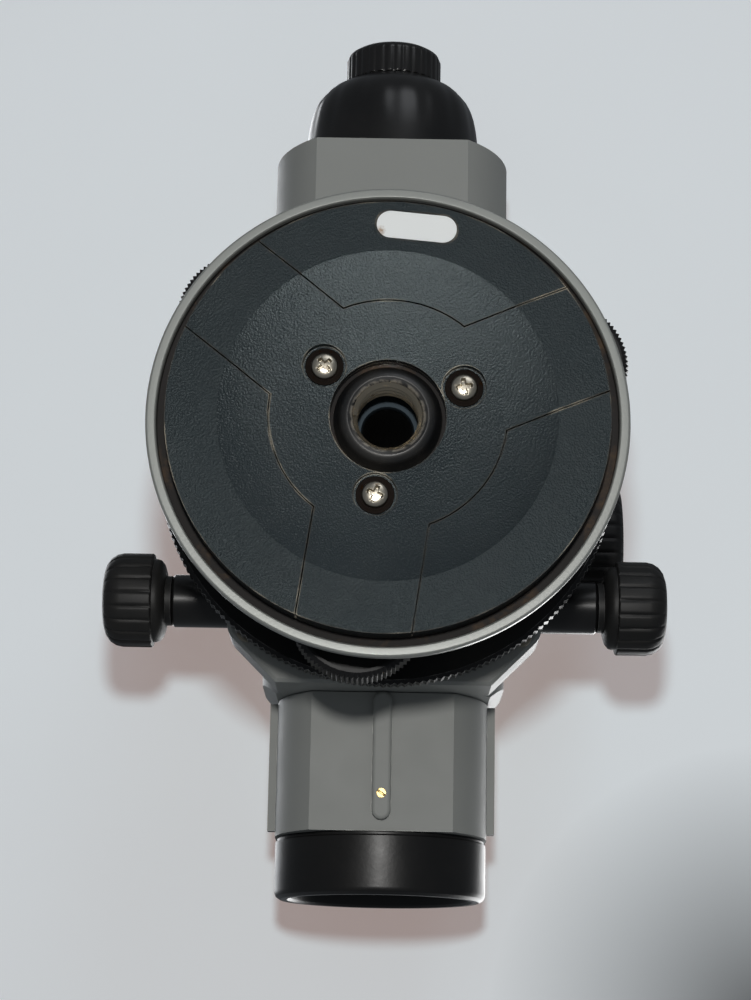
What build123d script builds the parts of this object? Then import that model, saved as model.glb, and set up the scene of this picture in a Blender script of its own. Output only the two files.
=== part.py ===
from build123d import *
import os
from math import cos, pi, radians, sin

# An automatic level, standing as in use: +Z up, the origin on the tripod thread's axis at the plane
# that the plate stands on. The objective looks along -Y, the eyepiece is at +Y, and the observer's
# right hand is at -X. Sizes are in millimetres.

# ---- fits ----
RUN = 0.05           # radial clearance of a shaft that turns or slides in its bore
PLAY = 0.4           # gap between pieces that move past each other
SEAM = 0.25          # gap between fixed pieces laid side by side
WALL = 2.5           # wall of the housing castings

# ---- base plate and the pieces let into its underside ----
plate_r = 55.25
rim_face = 3.6       # height of the rim's lower face
rim_band = 2.3       # height of the full-width rim
rim_height = 6.8     # rim face to the top of the plate
pocket_r = 52.8
disc_r = 50.6
disc_thickness = 6.4
flat_inner_r = 38.7  # the flat outer land ends here and the dish begins
dish_rise = 2.3
plate_bevel = 2.2    # bevel above the rim's full-width band
arm_width = 26.0
arm_hub_r = 27.0
spring_back = 4.4    # depth of the pocket that the spring plate lies in
boss_r = 12.45
boss_face = 1.8
boss_spigot_r = 10.5
boss_gap = 0.8
boss_round = 1.2
bush_rise = 2.0      # bush above the top of the plate
thread_minor_r = 6.94
thread_mouth = 1.3
plate_screw_r = 18.6
screw_shank_r = 1.75
screw_head_r = 2.85
screw_head_height = 1.7
screw_head_round = 0.8
screw_tip = 1.5      # plate left above a screw's tip
cross_length = 3.2
cross_width = 0.7
cross_depth = 1.0
washer_r = 4.4
washer_thickness = 0.5
counterbore_r = 5.0
counterbore_floor = 3.2
label_length = 18.5
label_width = 6.5
label_thickness = 0.2
label_recess = 0.25
label_x = -5.9
label_y = 44.6
label_tilt = 5.0

# ---- foot screws ----
foot_circle_r = 43.5
front_foot_angle = 278.0
foot_angles = {"front": front_foot_angle, "left": front_foot_angle + 120, "right": front_foot_angle + 240}
ball_r = 3.6
seat_thickness = 1.2
seat_r = 5.2
neck_r = 2.4
spindle_r = 4.0
wheel_r = 15.5
wheel_gap = 3.0
wheel_height = 10.0
travel_gap = 4.0
washer_wall = 2.0
foot_washer_height = 0.9
bush_wall = 2.2
bush_roof = 2.0      # casting left above a foot bush
wheel_chamfer = 0.8
wheel_rim = 3.5
wheel_hub = 2.6
wheel_recess = 2.5

# ---- tribrach and horizontal circle ----
tribrach_height = 10.6
tribrach_r = 44.0
lobe_r = 10.5
hub_drop = 8.4       # how far the hub hangs below the tribrach
neck_outer_r = 14.0
step_r = 24.0
step_height = 5.5
scoop_r = 11.0       # hollows cast into the underside between the lobes
scoop_circle_r = 31.3
scoop_roof = 3.0
sleeve_outer_r = 10.5
spindle_axis_r = 8.0
spindle_hollow_r = 5.8
retainer_height = 2.0
circle_r = 55.5
circle_gap = 3.0
circle_height = 6.0
circle_rim = 5.5
circle_web = 2.0
scale_height = 1.0
scale_width = 3.0
scale_setback = 1.0
circle_chamfer = 0.8

# ---- turret and telescope housing ----
cover_gap = 1.2
cover_thickness = 2.0
turret_half = 38.0
turret_front = 54.0
turret_taper = 12.0
turret_side_end = 20.0
turret_rear = 44.0
turret_height = 17.0
turret_chamfer = 3.0
turret_round = 5.0
turret_wall = 3.0
turret_roof = 3.5
belly_rise = 1.3     # the housing's belly above the fine-motion shaft
belly_depth = 26.5   # telescope axis above the belly
crown_height = 28.0
body_half = 30.6
belly_half = 19.5
belly_corner = 2.0   # the belly's round corners start this far below the telescope axis
crown_round = 8.0
crown_half = 21.0
body_rear = 89.6
cover_seam = 17.0    # top cover's seam above the telescope axis
pillar_depth = 12.0  # pillars below the cover's seam
pillar_r = 3.4
pillar_bite = 0.6    # how far a pillar runs into the side wall
cover_screw_r = 1.5
cover_screw_inset = 5.0
cover_post_r = 2.8
cover_post_gap = 4.0 # turret roof above the posts' ends
cover_chamfer = 0.8
cover_screw_grip = 5.0
tap_depth = 10.0
screw_clear = 1.0    # tapped hole past a screw's tip
cover_head_r = 2.6
cover_head_height = 0.8
top_head_height = 2.0
screw_well_r = 3.0
screw_well_depth = 5.5
pillar_front = 37.0
pillar_rear = 74.0
flange_axis_r = 20.0
axis_flange = 2.0    # thickness of the spindle's top flange
web_thickness = 2.5  # the housing's web that the spindle and the compensator are screwed to
web_half = 26.0
web_front = -21.0
web_rear = 40.0

# ---- fine motion ----
gear_module = 1.0
wheel_teeth = 57
worm_pitch_r = 4.5
worm_turns = 5
worm_wheel_height = 5.0
tangent_tube_r = 6.45
tangent_tube_end = 52.0
tangent_shaft_r = 3.0
tangent_knob_r = 11.5
tangent_knob_start = 53.6
tangent_knob_length = 15.0
knob_collar = 1.2
knob_flutes = 18
focus_flutes = 28
flute_r = 0.9
flute_out = 0.3      # flute centres beyond the knob's radius
knob_round = 3.0
knob_bore = 8.0      # how far a shaft runs into its knob
worm_journal = 2.0   # shaft at the worm's root radius past each end of the worm
shaft_rise = 7.0     # fine-motion shaft above the lower cover

# ---- barrel, objective and focusing ----
barrel_half = 26.5
barrel_front = 88.0
barrel_bore_r = 21.5
spigot_wall = 2.0
rib_reach = 2.0
rib_width = 4.6
rib_end = 85.5
side_rib_height = 4.0
rib_screw_y = -79.0
rib_screw_r = 1.2
rib_screw_sink = 0.3
rib_screw_gap = 0.15 # set screw's tip to the barrel's bore
rib_slot = 0.4
rib_round = 0.9
objective_round = 1.4
objective_bevel = 1.0
objective_ring_r = 26.4
objective_ring_length = 15.0
cell_wall = 2.0
cell_rear = 74.0
lens_clearance = 0.1
focus_tube_front = 62.0
focus_tube_rear = 30.0
focus_tube_wall = 3.5
focus_travel = 8.0
pinion_module = 0.6
pinion_teeth = 10
pinion_y = -13.0
rack_x = -19.5
rack_width = 4.0
rack_height = 4.0
rack_rear = 4.0
focus_shaft_r = 2.0
focus_boss_r = 11.0
focus_boss_end = 45.0
boss_step = 3.0      # the boss's spigot is this much smaller in radius
focus_knob_r = 18.0
focus_knob_start = 46.0
focus_knob_length = 14.0
focus_bore = 6.0

# ---- compensator ----
frame_half = 15.0
frame_wall = 2.0
frame_front = 20.0
frame_rear = 54.0
pivot_y = 36.0
pivot_height = 20.0  # pivot above the telescope axis
pivot_r = 1.0
pendulum_half = 9.0
prism_side = 11.0

# ---- eyepiece end ----
tube_r = 15.0
tube_bore_r = 12.0
tube_front = 76.0
tube_end = 108.0
flange_r = 19.0
flange_thickness = 2.4
bell_base_r = 23.0
bell_shoulder_r = 21.0
bell_shoulder = 21.4
bell_neck_r = 13.6
bell_length = 27.4
bell_wall = 1.6
eyepiece_r = 12.7
eyepiece_spigot_r = 11.9
eyepiece_bore_r = 9.0
eyepiece_end = 123.5
eyepiece_round = 1.6
eyepiece_spigot_start = 95.0
lens_tube_start = 92.0
lens_tube_end = 120.0
reticle_y = 79.0
reticle_r = 8.0
reticle_length = 5.0
ocular_bore_r = 7.4

# ---- circular level, mirror and sight ----
level_reach = 12.9   # centre of the level beyond the housing's side
level_y = 12.0
level_r = 12.5
level_rise = 2.0     # underside of the level housing above the telescope axis
level_height = 11.0
vial_r = 9.0
vial_height = 6.0
vial_floor = 3.0
level_screw_r = 2.0
level_screw_height = 1.8
mirror_thickness = 1.6
mirror_length = 23.0
mirror_pin_r = 0.8
sight_length = 34.0
sight_width = 9.0
sight_base = 2.0
sight_post = 6.5

# ---- levels above the standing plane, stacked from the sizes above ----
plate_top = rim_face + rim_height
seat_top = spring_back + seat_thickness
ball_z = seat_top + ball_r
wheel_bottom = plate_top + wheel_gap
wheel_top = wheel_bottom + wheel_height
tribrach_bottom = wheel_top + travel_gap
tribrach_top = tribrach_bottom + tribrach_height
step_top = tribrach_top + step_height
circle_bottom = tribrach_top + circle_gap
circle_top = circle_bottom + circle_height
cover_bottom = circle_top + cover_gap
turret_bottom = cover_bottom + cover_thickness
shaft_z = turret_bottom + shaft_rise
belly_z = shaft_z + belly_rise
axis_z = belly_z + belly_depth
seam_z = axis_z + cover_seam
crown_z = axis_z + crown_height
wheel_pitch_r = gear_module * wheel_teeth / 2
shaft_y = -(wheel_pitch_r + worm_pitch_r)
neck_top = shaft_z + worm_wheel_height / 2 + 1.0
web_bottom = neck_top + SEAM + axis_flange
floor_z = web_bottom + web_thickness
hub_bottom = tribrach_bottom - hub_drop
pinion_pitch_r = pinion_module * pinion_teeth / 2
bush_r = spindle_r + bush_wall
level_x = body_half + level_reach
level_z = axis_z + level_rise
pillar_x = body_half - WALL - pillar_r + pillar_bite
cover_screw_x = turret_half - cover_screw_inset
cover_screw_ys = (-turret_front + turret_taper, turret_side_end - cover_screw_inset + 1.0)
top_screw_ys = (-pillar_front, pillar_rear)
spigot_r = barrel_bore_r + spigot_wall

os.makedirs("parts", exist_ok=True)


def save(piece, name):
    """Label a finished piece and write its STEP file."""
    piece.part.label = name
    export_step(piece.part, f"parts/{name}.step")


def turn(plane, radius, start, stop, mode=Mode.ADD):
    """Add or cut a cylinder about the plane's normal, from start to stop along it."""
    with BuildSketch(plane.offset(start)) as section:
        Circle(radius)
    extrude(section.sketch, amount=stop - start, mode=mode)


def turn_ring(plane, outer_r, inner_r, start, stop):
    """Add a plain ring about the plane's normal."""
    with BuildSketch(plane.offset(start)) as section:
        Circle(outer_r)
        Circle(inner_r, mode=Mode.SUBTRACT)
    extrude(section.sketch, amount=stop - start)


def on_circle(radius, angle, z=0.0):
    """The plane through a point on a circle about the vertical axis."""
    return Plane.XY.offset(z).move(Location((radius * cos(radians(angle)), radius * sin(radians(angle)), 0)))


def across(y):
    """The plane across the telescope at y: X to the right, Z up, normal towards the objective."""
    return Plane(origin=(0, y, axis_z), x_dir=(1, 0, 0), z_dir=(0, -1, 0))


def sideways(y, z):
    """The plane through the vertical axis with its normal along +X, centred on a cross shaft."""
    return Plane(origin=(0, y, z), x_dir=(0, 1, 0), z_dir=(1, 0, 0))


def telescope_section(plane, inset=0.0, half=body_half):
    """The housing's section, flat-bellied with round lower corners, pulled in by inset on every side."""
    side = half - inset
    shrink = body_half - half
    belly = -belly_depth + inset + shrink / 2
    flat = belly_half - (inset + shrink) / 2
    crown = crown_height - inset - shrink
    crown_flat = crown_half - (inset + shrink) / 2
    shoulder = crown_height - inset - shrink - body_half + crown_half
    with BuildSketch(plane) as section:
        with BuildLine():
            Polyline(
                (side, -belly_corner),
                (side, shoulder),
                (crown_flat, crown),
                (-crown_flat, crown),
                (-side, shoulder),
                (-side, -belly_corner),
            )
            TangentArc((-side, -belly_corner), (-flat, belly), tangent=(0, -1))
            Line((-flat, belly), (flat, belly))
            TangentArc((side, -belly_corner), (flat, belly), tangent=(0, -1))
        make_face()
        fillet(section.vertices().sort_by(Axis.Y)[-4:], radius=crown_round - inset)
    return section.sketch


def turret_outline(z, inset=0.0):
    """The turret's plan, pulled in by inset on every side."""
    half = turret_half - inset
    front = turret_front - inset
    nose = turret_half - turret_taper - inset / 2
    with BuildSketch(Plane.XY.offset(z)) as plan:
        with BuildLine():
            Polyline(
                (-nose, -front),
                (nose, -front),
                (half, -turret_front + turret_taper - inset / 2),
                (half, turret_side_end),
                (body_half - inset, turret_rear - inset),
                (-body_half + inset, turret_rear - inset),
                (-half, turret_side_end),
                (-half, -turret_front + turret_taper - inset / 2),
                close=True,
            )
        make_face()
        fillet(plan.vertices().sort_by(Axis.Y)[2:], radius=turret_round)
    return plan.sketch


def spring_outline(plane, gap=0.0):
    """The spring plate's plan: a hub with three parallel-sided arms, grown by gap."""
    with BuildSketch(plane) as plan:
        Circle(arm_hub_r + gap)
        for angle in foot_angles.values():
            with Locations(on_circle(disc_r / 2, angle).location):
                Rectangle(disc_r, arm_width + 2 * gap, rotation=angle)
        Circle(disc_r, mode=Mode.INTERSECT)
    return plan.sketch


def underside_blank(back):
    """A disc up to back, with the flat outer land and the shallow dish on its underside."""
    with BuildPart() as blank:
        with BuildSketch(Plane.XZ) as profile:
            with BuildLine():
                Polyline(
                    (boss_r + boss_gap, dish_rise),
                    (flat_inner_r, 0),
                    (disc_r, 0),
                    (disc_r, back),
                    (boss_r + boss_gap, back),
                    close=True,
                )
            make_face()
        revolve(axis=Axis.Z)
    return blank.part


# ---- base ----
with BuildPart() as base_plate:
    turn(Plane.XY, plate_r, rim_face, plate_top)
    turn(Plane.XY, pocket_r, rim_face, disc_thickness, Mode.SUBTRACT)
    turn(Plane.XY, boss_spigot_r, 0, plate_top, Mode.SUBTRACT)
    with BuildSketch(Plane.XZ) as shoulder:
        with BuildLine():
            Polyline(
                (plate_r - plate_bevel, rim_face + rim_band + plate_bevel),
                (plate_r, rim_face + rim_band),
                (plate_r + 1, rim_face + rim_band),
                (plate_r + 1, plate_top + 1),
                (plate_r - plate_bevel, plate_top + 1),
                close=True,
            )
        make_face()
    revolve(shoulder.sketch, axis=Axis.Z, mode=Mode.SUBTRACT)
    for angle in foot_angles.values():
        turn(on_circle(foot_circle_r, angle), seat_r + SEAM, rim_face, plate_top, Mode.SUBTRACT)
        turn(on_circle(plate_screw_r, angle), screw_shank_r,
             rim_face, plate_top - screw_tip, Mode.SUBTRACT)
save(base_plate, "base_plate")

with BuildPart() as bottom_disc:
    add(underside_blank(disc_thickness))
    extrude(spring_outline(Plane.XY.offset(-1), SEAM), amount=spring_back + 1, mode=Mode.SUBTRACT)
    for angle in foot_angles.values():
        turn(on_circle(foot_circle_r, angle), seat_r + SEAM, 0, disc_thickness, Mode.SUBTRACT)
        turn(on_circle(plate_screw_r, angle), screw_shank_r, 0, disc_thickness, Mode.SUBTRACT)
    with BuildSketch(Plane.XY.move(Location((label_x, label_y, 0)))) as recess:
        SlotOverall(label_length + 2 * SEAM, label_width + 2 * SEAM, rotation=label_tilt)
    extrude(recess.sketch, amount=label_recess, mode=Mode.SUBTRACT)
save(bottom_disc, "bottom_disc")

with BuildPart() as spring_plate:
    add(underside_blank(spring_back))
    extrude(spring_outline(Plane.XY.offset(-1)), amount=spring_back + 2, mode=Mode.INTERSECT)
    for angle in foot_angles.values():
        turn(on_circle(plate_screw_r, angle), counterbore_r, 0, counterbore_floor, Mode.SUBTRACT)
        turn(on_circle(plate_screw_r, angle), screw_shank_r, 0, spring_back, Mode.SUBTRACT)
save(spring_plate, "spring_plate")

with BuildPart() as tripod_bush:
    turn(Plane.XY, boss_r, boss_face, disc_thickness)
    fillet(tripod_bush.edges().sort_by(Axis.Z)[0], radius=boss_round)
    turn(Plane.XY, boss_spigot_r, disc_thickness, plate_top + bush_rise)
    turn(Plane.XY, thread_minor_r, 0, plate_top + bush_rise, Mode.SUBTRACT)
    lower_rims = tripod_bush.edges().filter_by(GeomType.CIRCLE).group_by(Axis.Z)[0]
    chamfer(lower_rims.sort_by(SortBy.RADIUS)[0], thread_mouth)
save(tripod_bush, "tripod_bush")

with BuildPart() as plate_screws:
    for angle in foot_angles.values():
        place = on_circle(plate_screw_r, angle)
        seat = counterbore_floor - washer_thickness
        turn(place, screw_head_r, seat - screw_head_height, seat)
        turn(place, screw_shank_r, seat, plate_top - screw_tip)
        with BuildSketch(place.offset(seat - screw_head_height)) as cross:
            Rectangle(cross_length, cross_width, rotation=angle)
            Rectangle(cross_width, cross_length, rotation=angle)
        extrude(cross.sketch, amount=cross_depth, mode=Mode.SUBTRACT)
    fillet(plate_screws.edges().filter_by(GeomType.CIRCLE).filter_by(lambda e: e.radius == screw_head_r)
           .group_by(Axis.Z)[0], radius=screw_head_round)
save(plate_screws, "plate_screws")

with BuildPart() as plate_washers:
    for angle in foot_angles.values():
        turn_ring(on_circle(plate_screw_r, angle), washer_r, screw_shank_r + SEAM,
                  counterbore_floor - washer_thickness, counterbore_floor)
save(plate_washers, "plate_washers")

with BuildPart() as base_label:
    with BuildSketch(Plane.XY.offset(label_recess - label_thickness).move(Location((label_x, label_y, 0)))):
        SlotOverall(label_length, label_width, rotation=label_tilt)
    extrude(amount=label_thickness)
save(base_label, "base_label")

with BuildPart() as foot_seats:
    for angle in foot_angles.values():
        turn(on_circle(foot_circle_r, angle), seat_r, spring_back, seat_top)
save(foot_seats, "foot_seats")

# ---- tribrach ----
with BuildPart() as tribrach:
    turn(Plane.XY, tribrach_r, tribrach_bottom, tribrach_top)
    for angle in foot_angles.values():
        turn(on_circle(foot_circle_r, angle), lobe_r, tribrach_bottom, tribrach_top)
    turn(Plane.XY, step_r, tribrach_top, step_top)
    turn(Plane.XY, neck_outer_r, hub_bottom, neck_top)
    turn(Plane.XY, sleeve_outer_r, hub_bottom, neck_top, Mode.SUBTRACT)
    for angle in foot_angles.values():
        turn(on_circle(foot_circle_r, angle), bush_r, tribrach_bottom, tribrach_top - bush_roof, Mode.SUBTRACT)
    # the casting is scooped out between the lobes, from below
    for angle in foot_angles.values():
        turn(on_circle(scoop_circle_r, angle + 60), scoop_r,
             tribrach_bottom, tribrach_top - scoop_roof, Mode.SUBTRACT)
save(tribrach, "tribrach")

with BuildPart() as axis_sleeve:
    turn_ring(Plane.XY, sleeve_outer_r, spindle_axis_r + RUN, hub_bottom, neck_top)
save(axis_sleeve, "axis_sleeve")

with BuildPart() as foot_bushes:
    for angle in foot_angles.values():
        turn_ring(on_circle(foot_circle_r, angle), bush_r, spindle_r + RUN,
                  tribrach_bottom, tribrach_top - bush_roof)
save(foot_bushes, "foot_bushes")

# ---- foot screws ----
for side, angle in foot_angles.items():
    place = on_circle(foot_circle_r, angle)
    with BuildPart() as foot_screw:
        with Locations(place.offset(ball_z).location):
            Sphere(ball_r)
        turn(place, neck_r, ball_z, wheel_bottom)
        turn(place, spindle_r, wheel_bottom, tribrach_top - bush_roof - travel_gap)
    save(foot_screw, f"foot_screw_{side}")

    with BuildPart() as foot_wheel:
        turn(place, wheel_r, wheel_bottom, wheel_top)
        chamfer(foot_wheel.edges(), wheel_chamfer)
        turn(place, wheel_r - wheel_rim, wheel_bottom, wheel_bottom + wheel_recess, Mode.SUBTRACT)
        turn(place, neck_r + wheel_hub, wheel_bottom, wheel_bottom + wheel_recess)
        turn(place, spindle_r, wheel_bottom, wheel_top, Mode.SUBTRACT)
    save(foot_wheel, f"foot_wheel_{side}")

for name, sides in (("foot_washer_front", ("front",)), ("foot_washers_rear", ("left", "right"))):
    with BuildPart() as foot_washer:
        for side in sides:
            turn_ring(on_circle(foot_circle_r, foot_angles[side]), spindle_r + PLAY + washer_wall,
                      spindle_r + PLAY, wheel_top, wheel_top + foot_washer_height)
    save(foot_washer, name)

# ---- horizontal circle ----
with BuildPart() as circle_ring:
    turn_ring(Plane.XY, circle_r, circle_r - circle_rim, circle_bottom, circle_top - scale_height)
    turn_ring(Plane.XY, circle_r - circle_rim + 1, step_r + RUN, circle_bottom, circle_bottom + circle_web)
    chamfer(circle_ring.edges().filter_by(GeomType.CIRCLE).filter_by(lambda e: e.radius == circle_r)
            .group_by(Axis.Z)[0], circle_chamfer)
save(circle_ring, "circle_ring")

with BuildPart() as circle_scale:
    scale_r = circle_r - scale_setback
    turn_ring(Plane.XY, scale_r, scale_r - scale_width, circle_top - scale_height, circle_top)
    chamfer(circle_scale.edges().group_by(Axis.Z)[-1].sort_by(SortBy.RADIUS)[-1], circle_chamfer)
save(circle_scale, "circle_scale")

# ---- alidade: turret and telescope housing ----
with BuildPart() as lower_cover:
    extrude(turret_outline(cover_bottom), amount=cover_thickness)
    turn(Plane.XY, neck_outer_r + PLAY, cover_bottom, turret_bottom, Mode.SUBTRACT)
    chamfer(lower_cover.faces().sort_by(Axis.Z)[0].outer_wire().edges(), cover_chamfer)
    for side_x in (-1, 1):
        for y in cover_screw_ys:
            turn(Plane.XY.move(Location((side_x * cover_screw_x, y, 0))), cover_screw_r,
                 cover_bottom, turret_bottom, Mode.SUBTRACT)
save(lower_cover, "lower_cover")

with BuildPart() as body_blank:
    extrude(telescope_section(across(body_rear)), amount=body_rear + turret_front)
    extrude(telescope_section(across(body_rear - WALL), WALL), amount=body_rear + turret_front - 2 * WALL,
            mode=Mode.SUBTRACT)
    for side_x in (-1, 1):
        for y in top_screw_ys:
            place = Plane.XY.move(Location((side_x * pillar_x, y, 0)))
            turn(place, pillar_r, seam_z - pillar_depth, crown_z - WALL - 0.5)
    # the front corners are cut at 45 degrees down to the barrel's width
    for side_x in (-1, 1):
        corner = body_half - barrel_half
        with BuildSketch(Plane.XY.offset(belly_z - 1)) as wedge:
            with BuildLine():
                Polyline(
                    (side_x * barrel_half, -turret_front - 1),
                    (side_x * barrel_half, -turret_front),
                    (side_x * (body_half + 1), -turret_front + corner + 1),
                    (side_x * (body_half + 1), -turret_front - 1),
                    close=True,
                )
            make_face()
        extrude(wedge.sketch, amount=crown_z - belly_z + 2, mode=Mode.SUBTRACT)

with BuildPart() as housing:
    add(body_blank.part)
    split(bisect_by=Plane.XY.offset(seam_z), keep=Keep.BOTTOM)
    with BuildPart(mode=Mode.PRIVATE) as turret:
        extrude(turret_outline(turret_bottom), amount=turret_height)
        chamfer(turret.faces().sort_by(Axis.Z)[-1].edges(), turret_chamfer)
    add(turret.part)
    extrude(turret_outline(turret_bottom, turret_wall), amount=turret_height - turret_roof, mode=Mode.SUBTRACT)
    extrude(telescope_section(across(body_rear - WALL), WALL), amount=body_rear + turret_front - 2 * WALL,
            mode=Mode.SUBTRACT)
    for side_x in (-1, 1):
        for y in top_screw_ys:
            place = Plane.XY.move(Location((side_x * pillar_x, y, 0)))
            turn(place, pillar_r, seam_z - pillar_depth, seam_z)
            turn(place, cover_screw_r, seam_z - tap_depth, seam_z, Mode.SUBTRACT)
        for y in cover_screw_ys:
            place = Plane.XY.move(Location((side_x * cover_screw_x, y, 0)))
            turn(place, cover_post_r, turret_bottom, turret_bottom + turret_height - cover_post_gap)
            turn(place, cover_screw_r, turret_bottom, turret_bottom + cover_screw_grip + screw_clear, Mode.SUBTRACT)
    with BuildSketch(Plane.XY.offset(web_bottom)) as web:
        with Locations((0, (web_front + web_rear) / 2)):
            Rectangle(2 * web_half, web_rear - web_front)
    extrude(web.sketch, amount=web_thickness)
    # bores: barrel spigot, eyepiece tube, fine-motion shaft, focusing shaft
    turn(across(-turret_front + WALL + 0.5), spigot_r, 0, WALL + 1, Mode.SUBTRACT)
    turn(across(body_rear), tube_r, 0, WALL, Mode.SUBTRACT)
    turn(sideways(shaft_y, shaft_z), tangent_tube_r, -turret_half - 1, turret_half + 1, Mode.SUBTRACT)
    turn(sideways(pinion_y, axis_z), focus_boss_r - boss_step, -body_half - 1, -body_half + WALL + 1, Mode.SUBTRACT)
save(housing, "housing")

with BuildPart() as top_cover:
    add(body_blank.part)
    split(bisect_by=Plane.XY.offset(seam_z + SEAM), keep=Keep.TOP)
    for side_x in (-1, 1):
        for y in top_screw_ys:
            place = Plane.XY.move(Location((side_x * pillar_x, y, 0)))
            turn(place, cover_screw_r, seam_z, crown_z, Mode.SUBTRACT)
            turn(place, screw_well_r, crown_z - screw_well_depth, crown_z, Mode.SUBTRACT)
    turn(across(-turret_front + WALL + 0.5), spigot_r, 0, WALL + 1, Mode.SUBTRACT)
save(top_cover, "top_cover")

with BuildPart() as housing_screws:
    for side_x in (-1, 1):
        for y in cover_screw_ys:
            place = Plane.XY.move(Location((side_x * cover_screw_x, y, 0)))
            turn(place, cover_screw_r, cover_bottom, turret_bottom + cover_screw_grip)
            turn(place, cover_head_r, cover_bottom - cover_head_height, cover_bottom)
        for y in top_screw_ys:
            place = Plane.XY.move(Location((side_x * pillar_x, y, 0)))
            head = crown_z - screw_well_depth
            turn(place, cover_screw_r, seam_z - tap_depth + screw_clear, head)
            turn(place, cover_head_r, head, head + top_head_height)
            with BuildSketch(place.offset(head + top_head_height - cross_depth)) as cross:
                Rectangle(cross_length, cross_width, rotation=20)
                Rectangle(cross_width, cross_length, rotation=20)
            extrude(cross.sketch, amount=cross_depth, mode=Mode.SUBTRACT)
save(housing_screws, "housing_screws")

with BuildPart() as vertical_spindle:
    turn(Plane.XY, spindle_axis_r, hub_bottom, neck_top + SEAM)
    turn(Plane.XY, flange_axis_r, neck_top + SEAM, web_bottom)
    turn(Plane.XY, spindle_hollow_r, hub_bottom, neck_top, Mode.SUBTRACT)
save(vertical_spindle, "vertical_spindle")

with BuildPart() as axis_retainer:
    turn_ring(Plane.XY, spindle_axis_r + 2, spindle_hollow_r, hub_bottom - retainer_height, hub_bottom - SEAM)
    turn_ring(Plane.XY, spindle_axis_r, spindle_hollow_r, hub_bottom - SEAM, hub_bottom)
save(axis_retainer, "axis_retainer")

# ---- fine motion ----
with BuildPart() as tangent_tubes:
    for side_x in (-1, 1):
        start, stop = sorted((side_x * (turret_half - WALL - 1), side_x * tangent_tube_end))
        turn_ring(sideways(shaft_y, shaft_z), tangent_tube_r, tangent_shaft_r + RUN, start, stop)
save(tangent_tubes, "tangent_tubes")

worm_pitch = pi * gear_module
worm_half = worm_pitch * worm_turns / 2
worm_root_r = worm_pitch_r - 1.25 * gear_module
worm_start = Plane(origin=(-worm_half, shaft_y, shaft_z), x_dir=(0, -1, 0), z_dir=(1, 0, 0))
helix = worm_start.location * Helix(worm_pitch, 2 * worm_half, worm_root_r - 0.2)

with BuildPart() as tangent_shaft:
    with BuildSketch(Plane(origin=helix @ 0, x_dir=(0, -1, 0), z_dir=helix % 0)) as tooth:
        with BuildLine():
            Polyline((0, -0.8 * gear_module), (2.1 * gear_module, -0.35 * gear_module),
                     (2.1 * gear_module, 0.35 * gear_module), (0, 0.8 * gear_module), close=True)
        make_face()
    sweep(tooth.sketch, path=helix, is_frenet=True)
    turn(sideways(shaft_y, shaft_z), tangent_shaft_r, -tangent_knob_start - knob_bore, tangent_knob_start + knob_bore)
    turn(sideways(shaft_y, shaft_z), worm_root_r, -worm_half - worm_journal, worm_half + worm_journal)
save(tangent_shaft, "tangent_shaft")

with BuildPart() as tangent_knobs:
    for side_x in (-1, 1):
        start, stop = sorted((side_x * tangent_knob_start, side_x * (tangent_knob_start + tangent_knob_length)))
        turn(sideways(shaft_y, shaft_z), tangent_knob_r, start, stop)
    for end in (tangent_knobs.faces().sort_by(Axis.X)[0], tangent_knobs.faces().sort_by(Axis.X)[-1]):
        fillet(end.edges(), radius=knob_round)
    for side_x in (-1, 1):
        flat = side_x * (tangent_knob_start + knob_collar)
        start, stop = sorted((flat, side_x * (tangent_knob_start + tangent_knob_length + 1)))
        with BuildSketch(sideways(shaft_y, shaft_z).offset(start)) as flutes:
            with PolarLocations(tangent_knob_r + flute_out, knob_flutes):
                Circle(flute_r)
        extrude(flutes.sketch, amount=stop - start, mode=Mode.SUBTRACT)
        bore_start, bore_stop = sorted((side_x * tangent_knob_start, side_x * (tangent_knob_start + knob_bore)))
        turn(sideways(shaft_y, shaft_z), tangent_shaft_r, bore_start, bore_stop, Mode.SUBTRACT)
save(tangent_knobs, "tangent_knobs")

with BuildPart() as worm_wheel:
    bottom = shaft_z - worm_wheel_height / 2
    root = wheel_pitch_r - 1.25 * gear_module
    with BuildSketch(Plane.XY.offset(bottom)) as wheel_plan:
        Circle(root)
        with PolarLocations(root, wheel_teeth, start_angle=-90 + 180 / wheel_teeth):
            with BuildLine(mode=Mode.PRIVATE) as tooth_line:
                Polyline((-0.3, -0.8), (2.0 * gear_module, -0.3), (2.0 * gear_module, 0.3), (-0.3, 0.8), close=True)
            add(make_face(tooth_line.edges(), mode=Mode.PRIVATE))
        Circle(neck_outer_r + RUN, mode=Mode.SUBTRACT)
    extrude(amount=worm_wheel_height)
save(worm_wheel, "worm_wheel")

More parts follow.
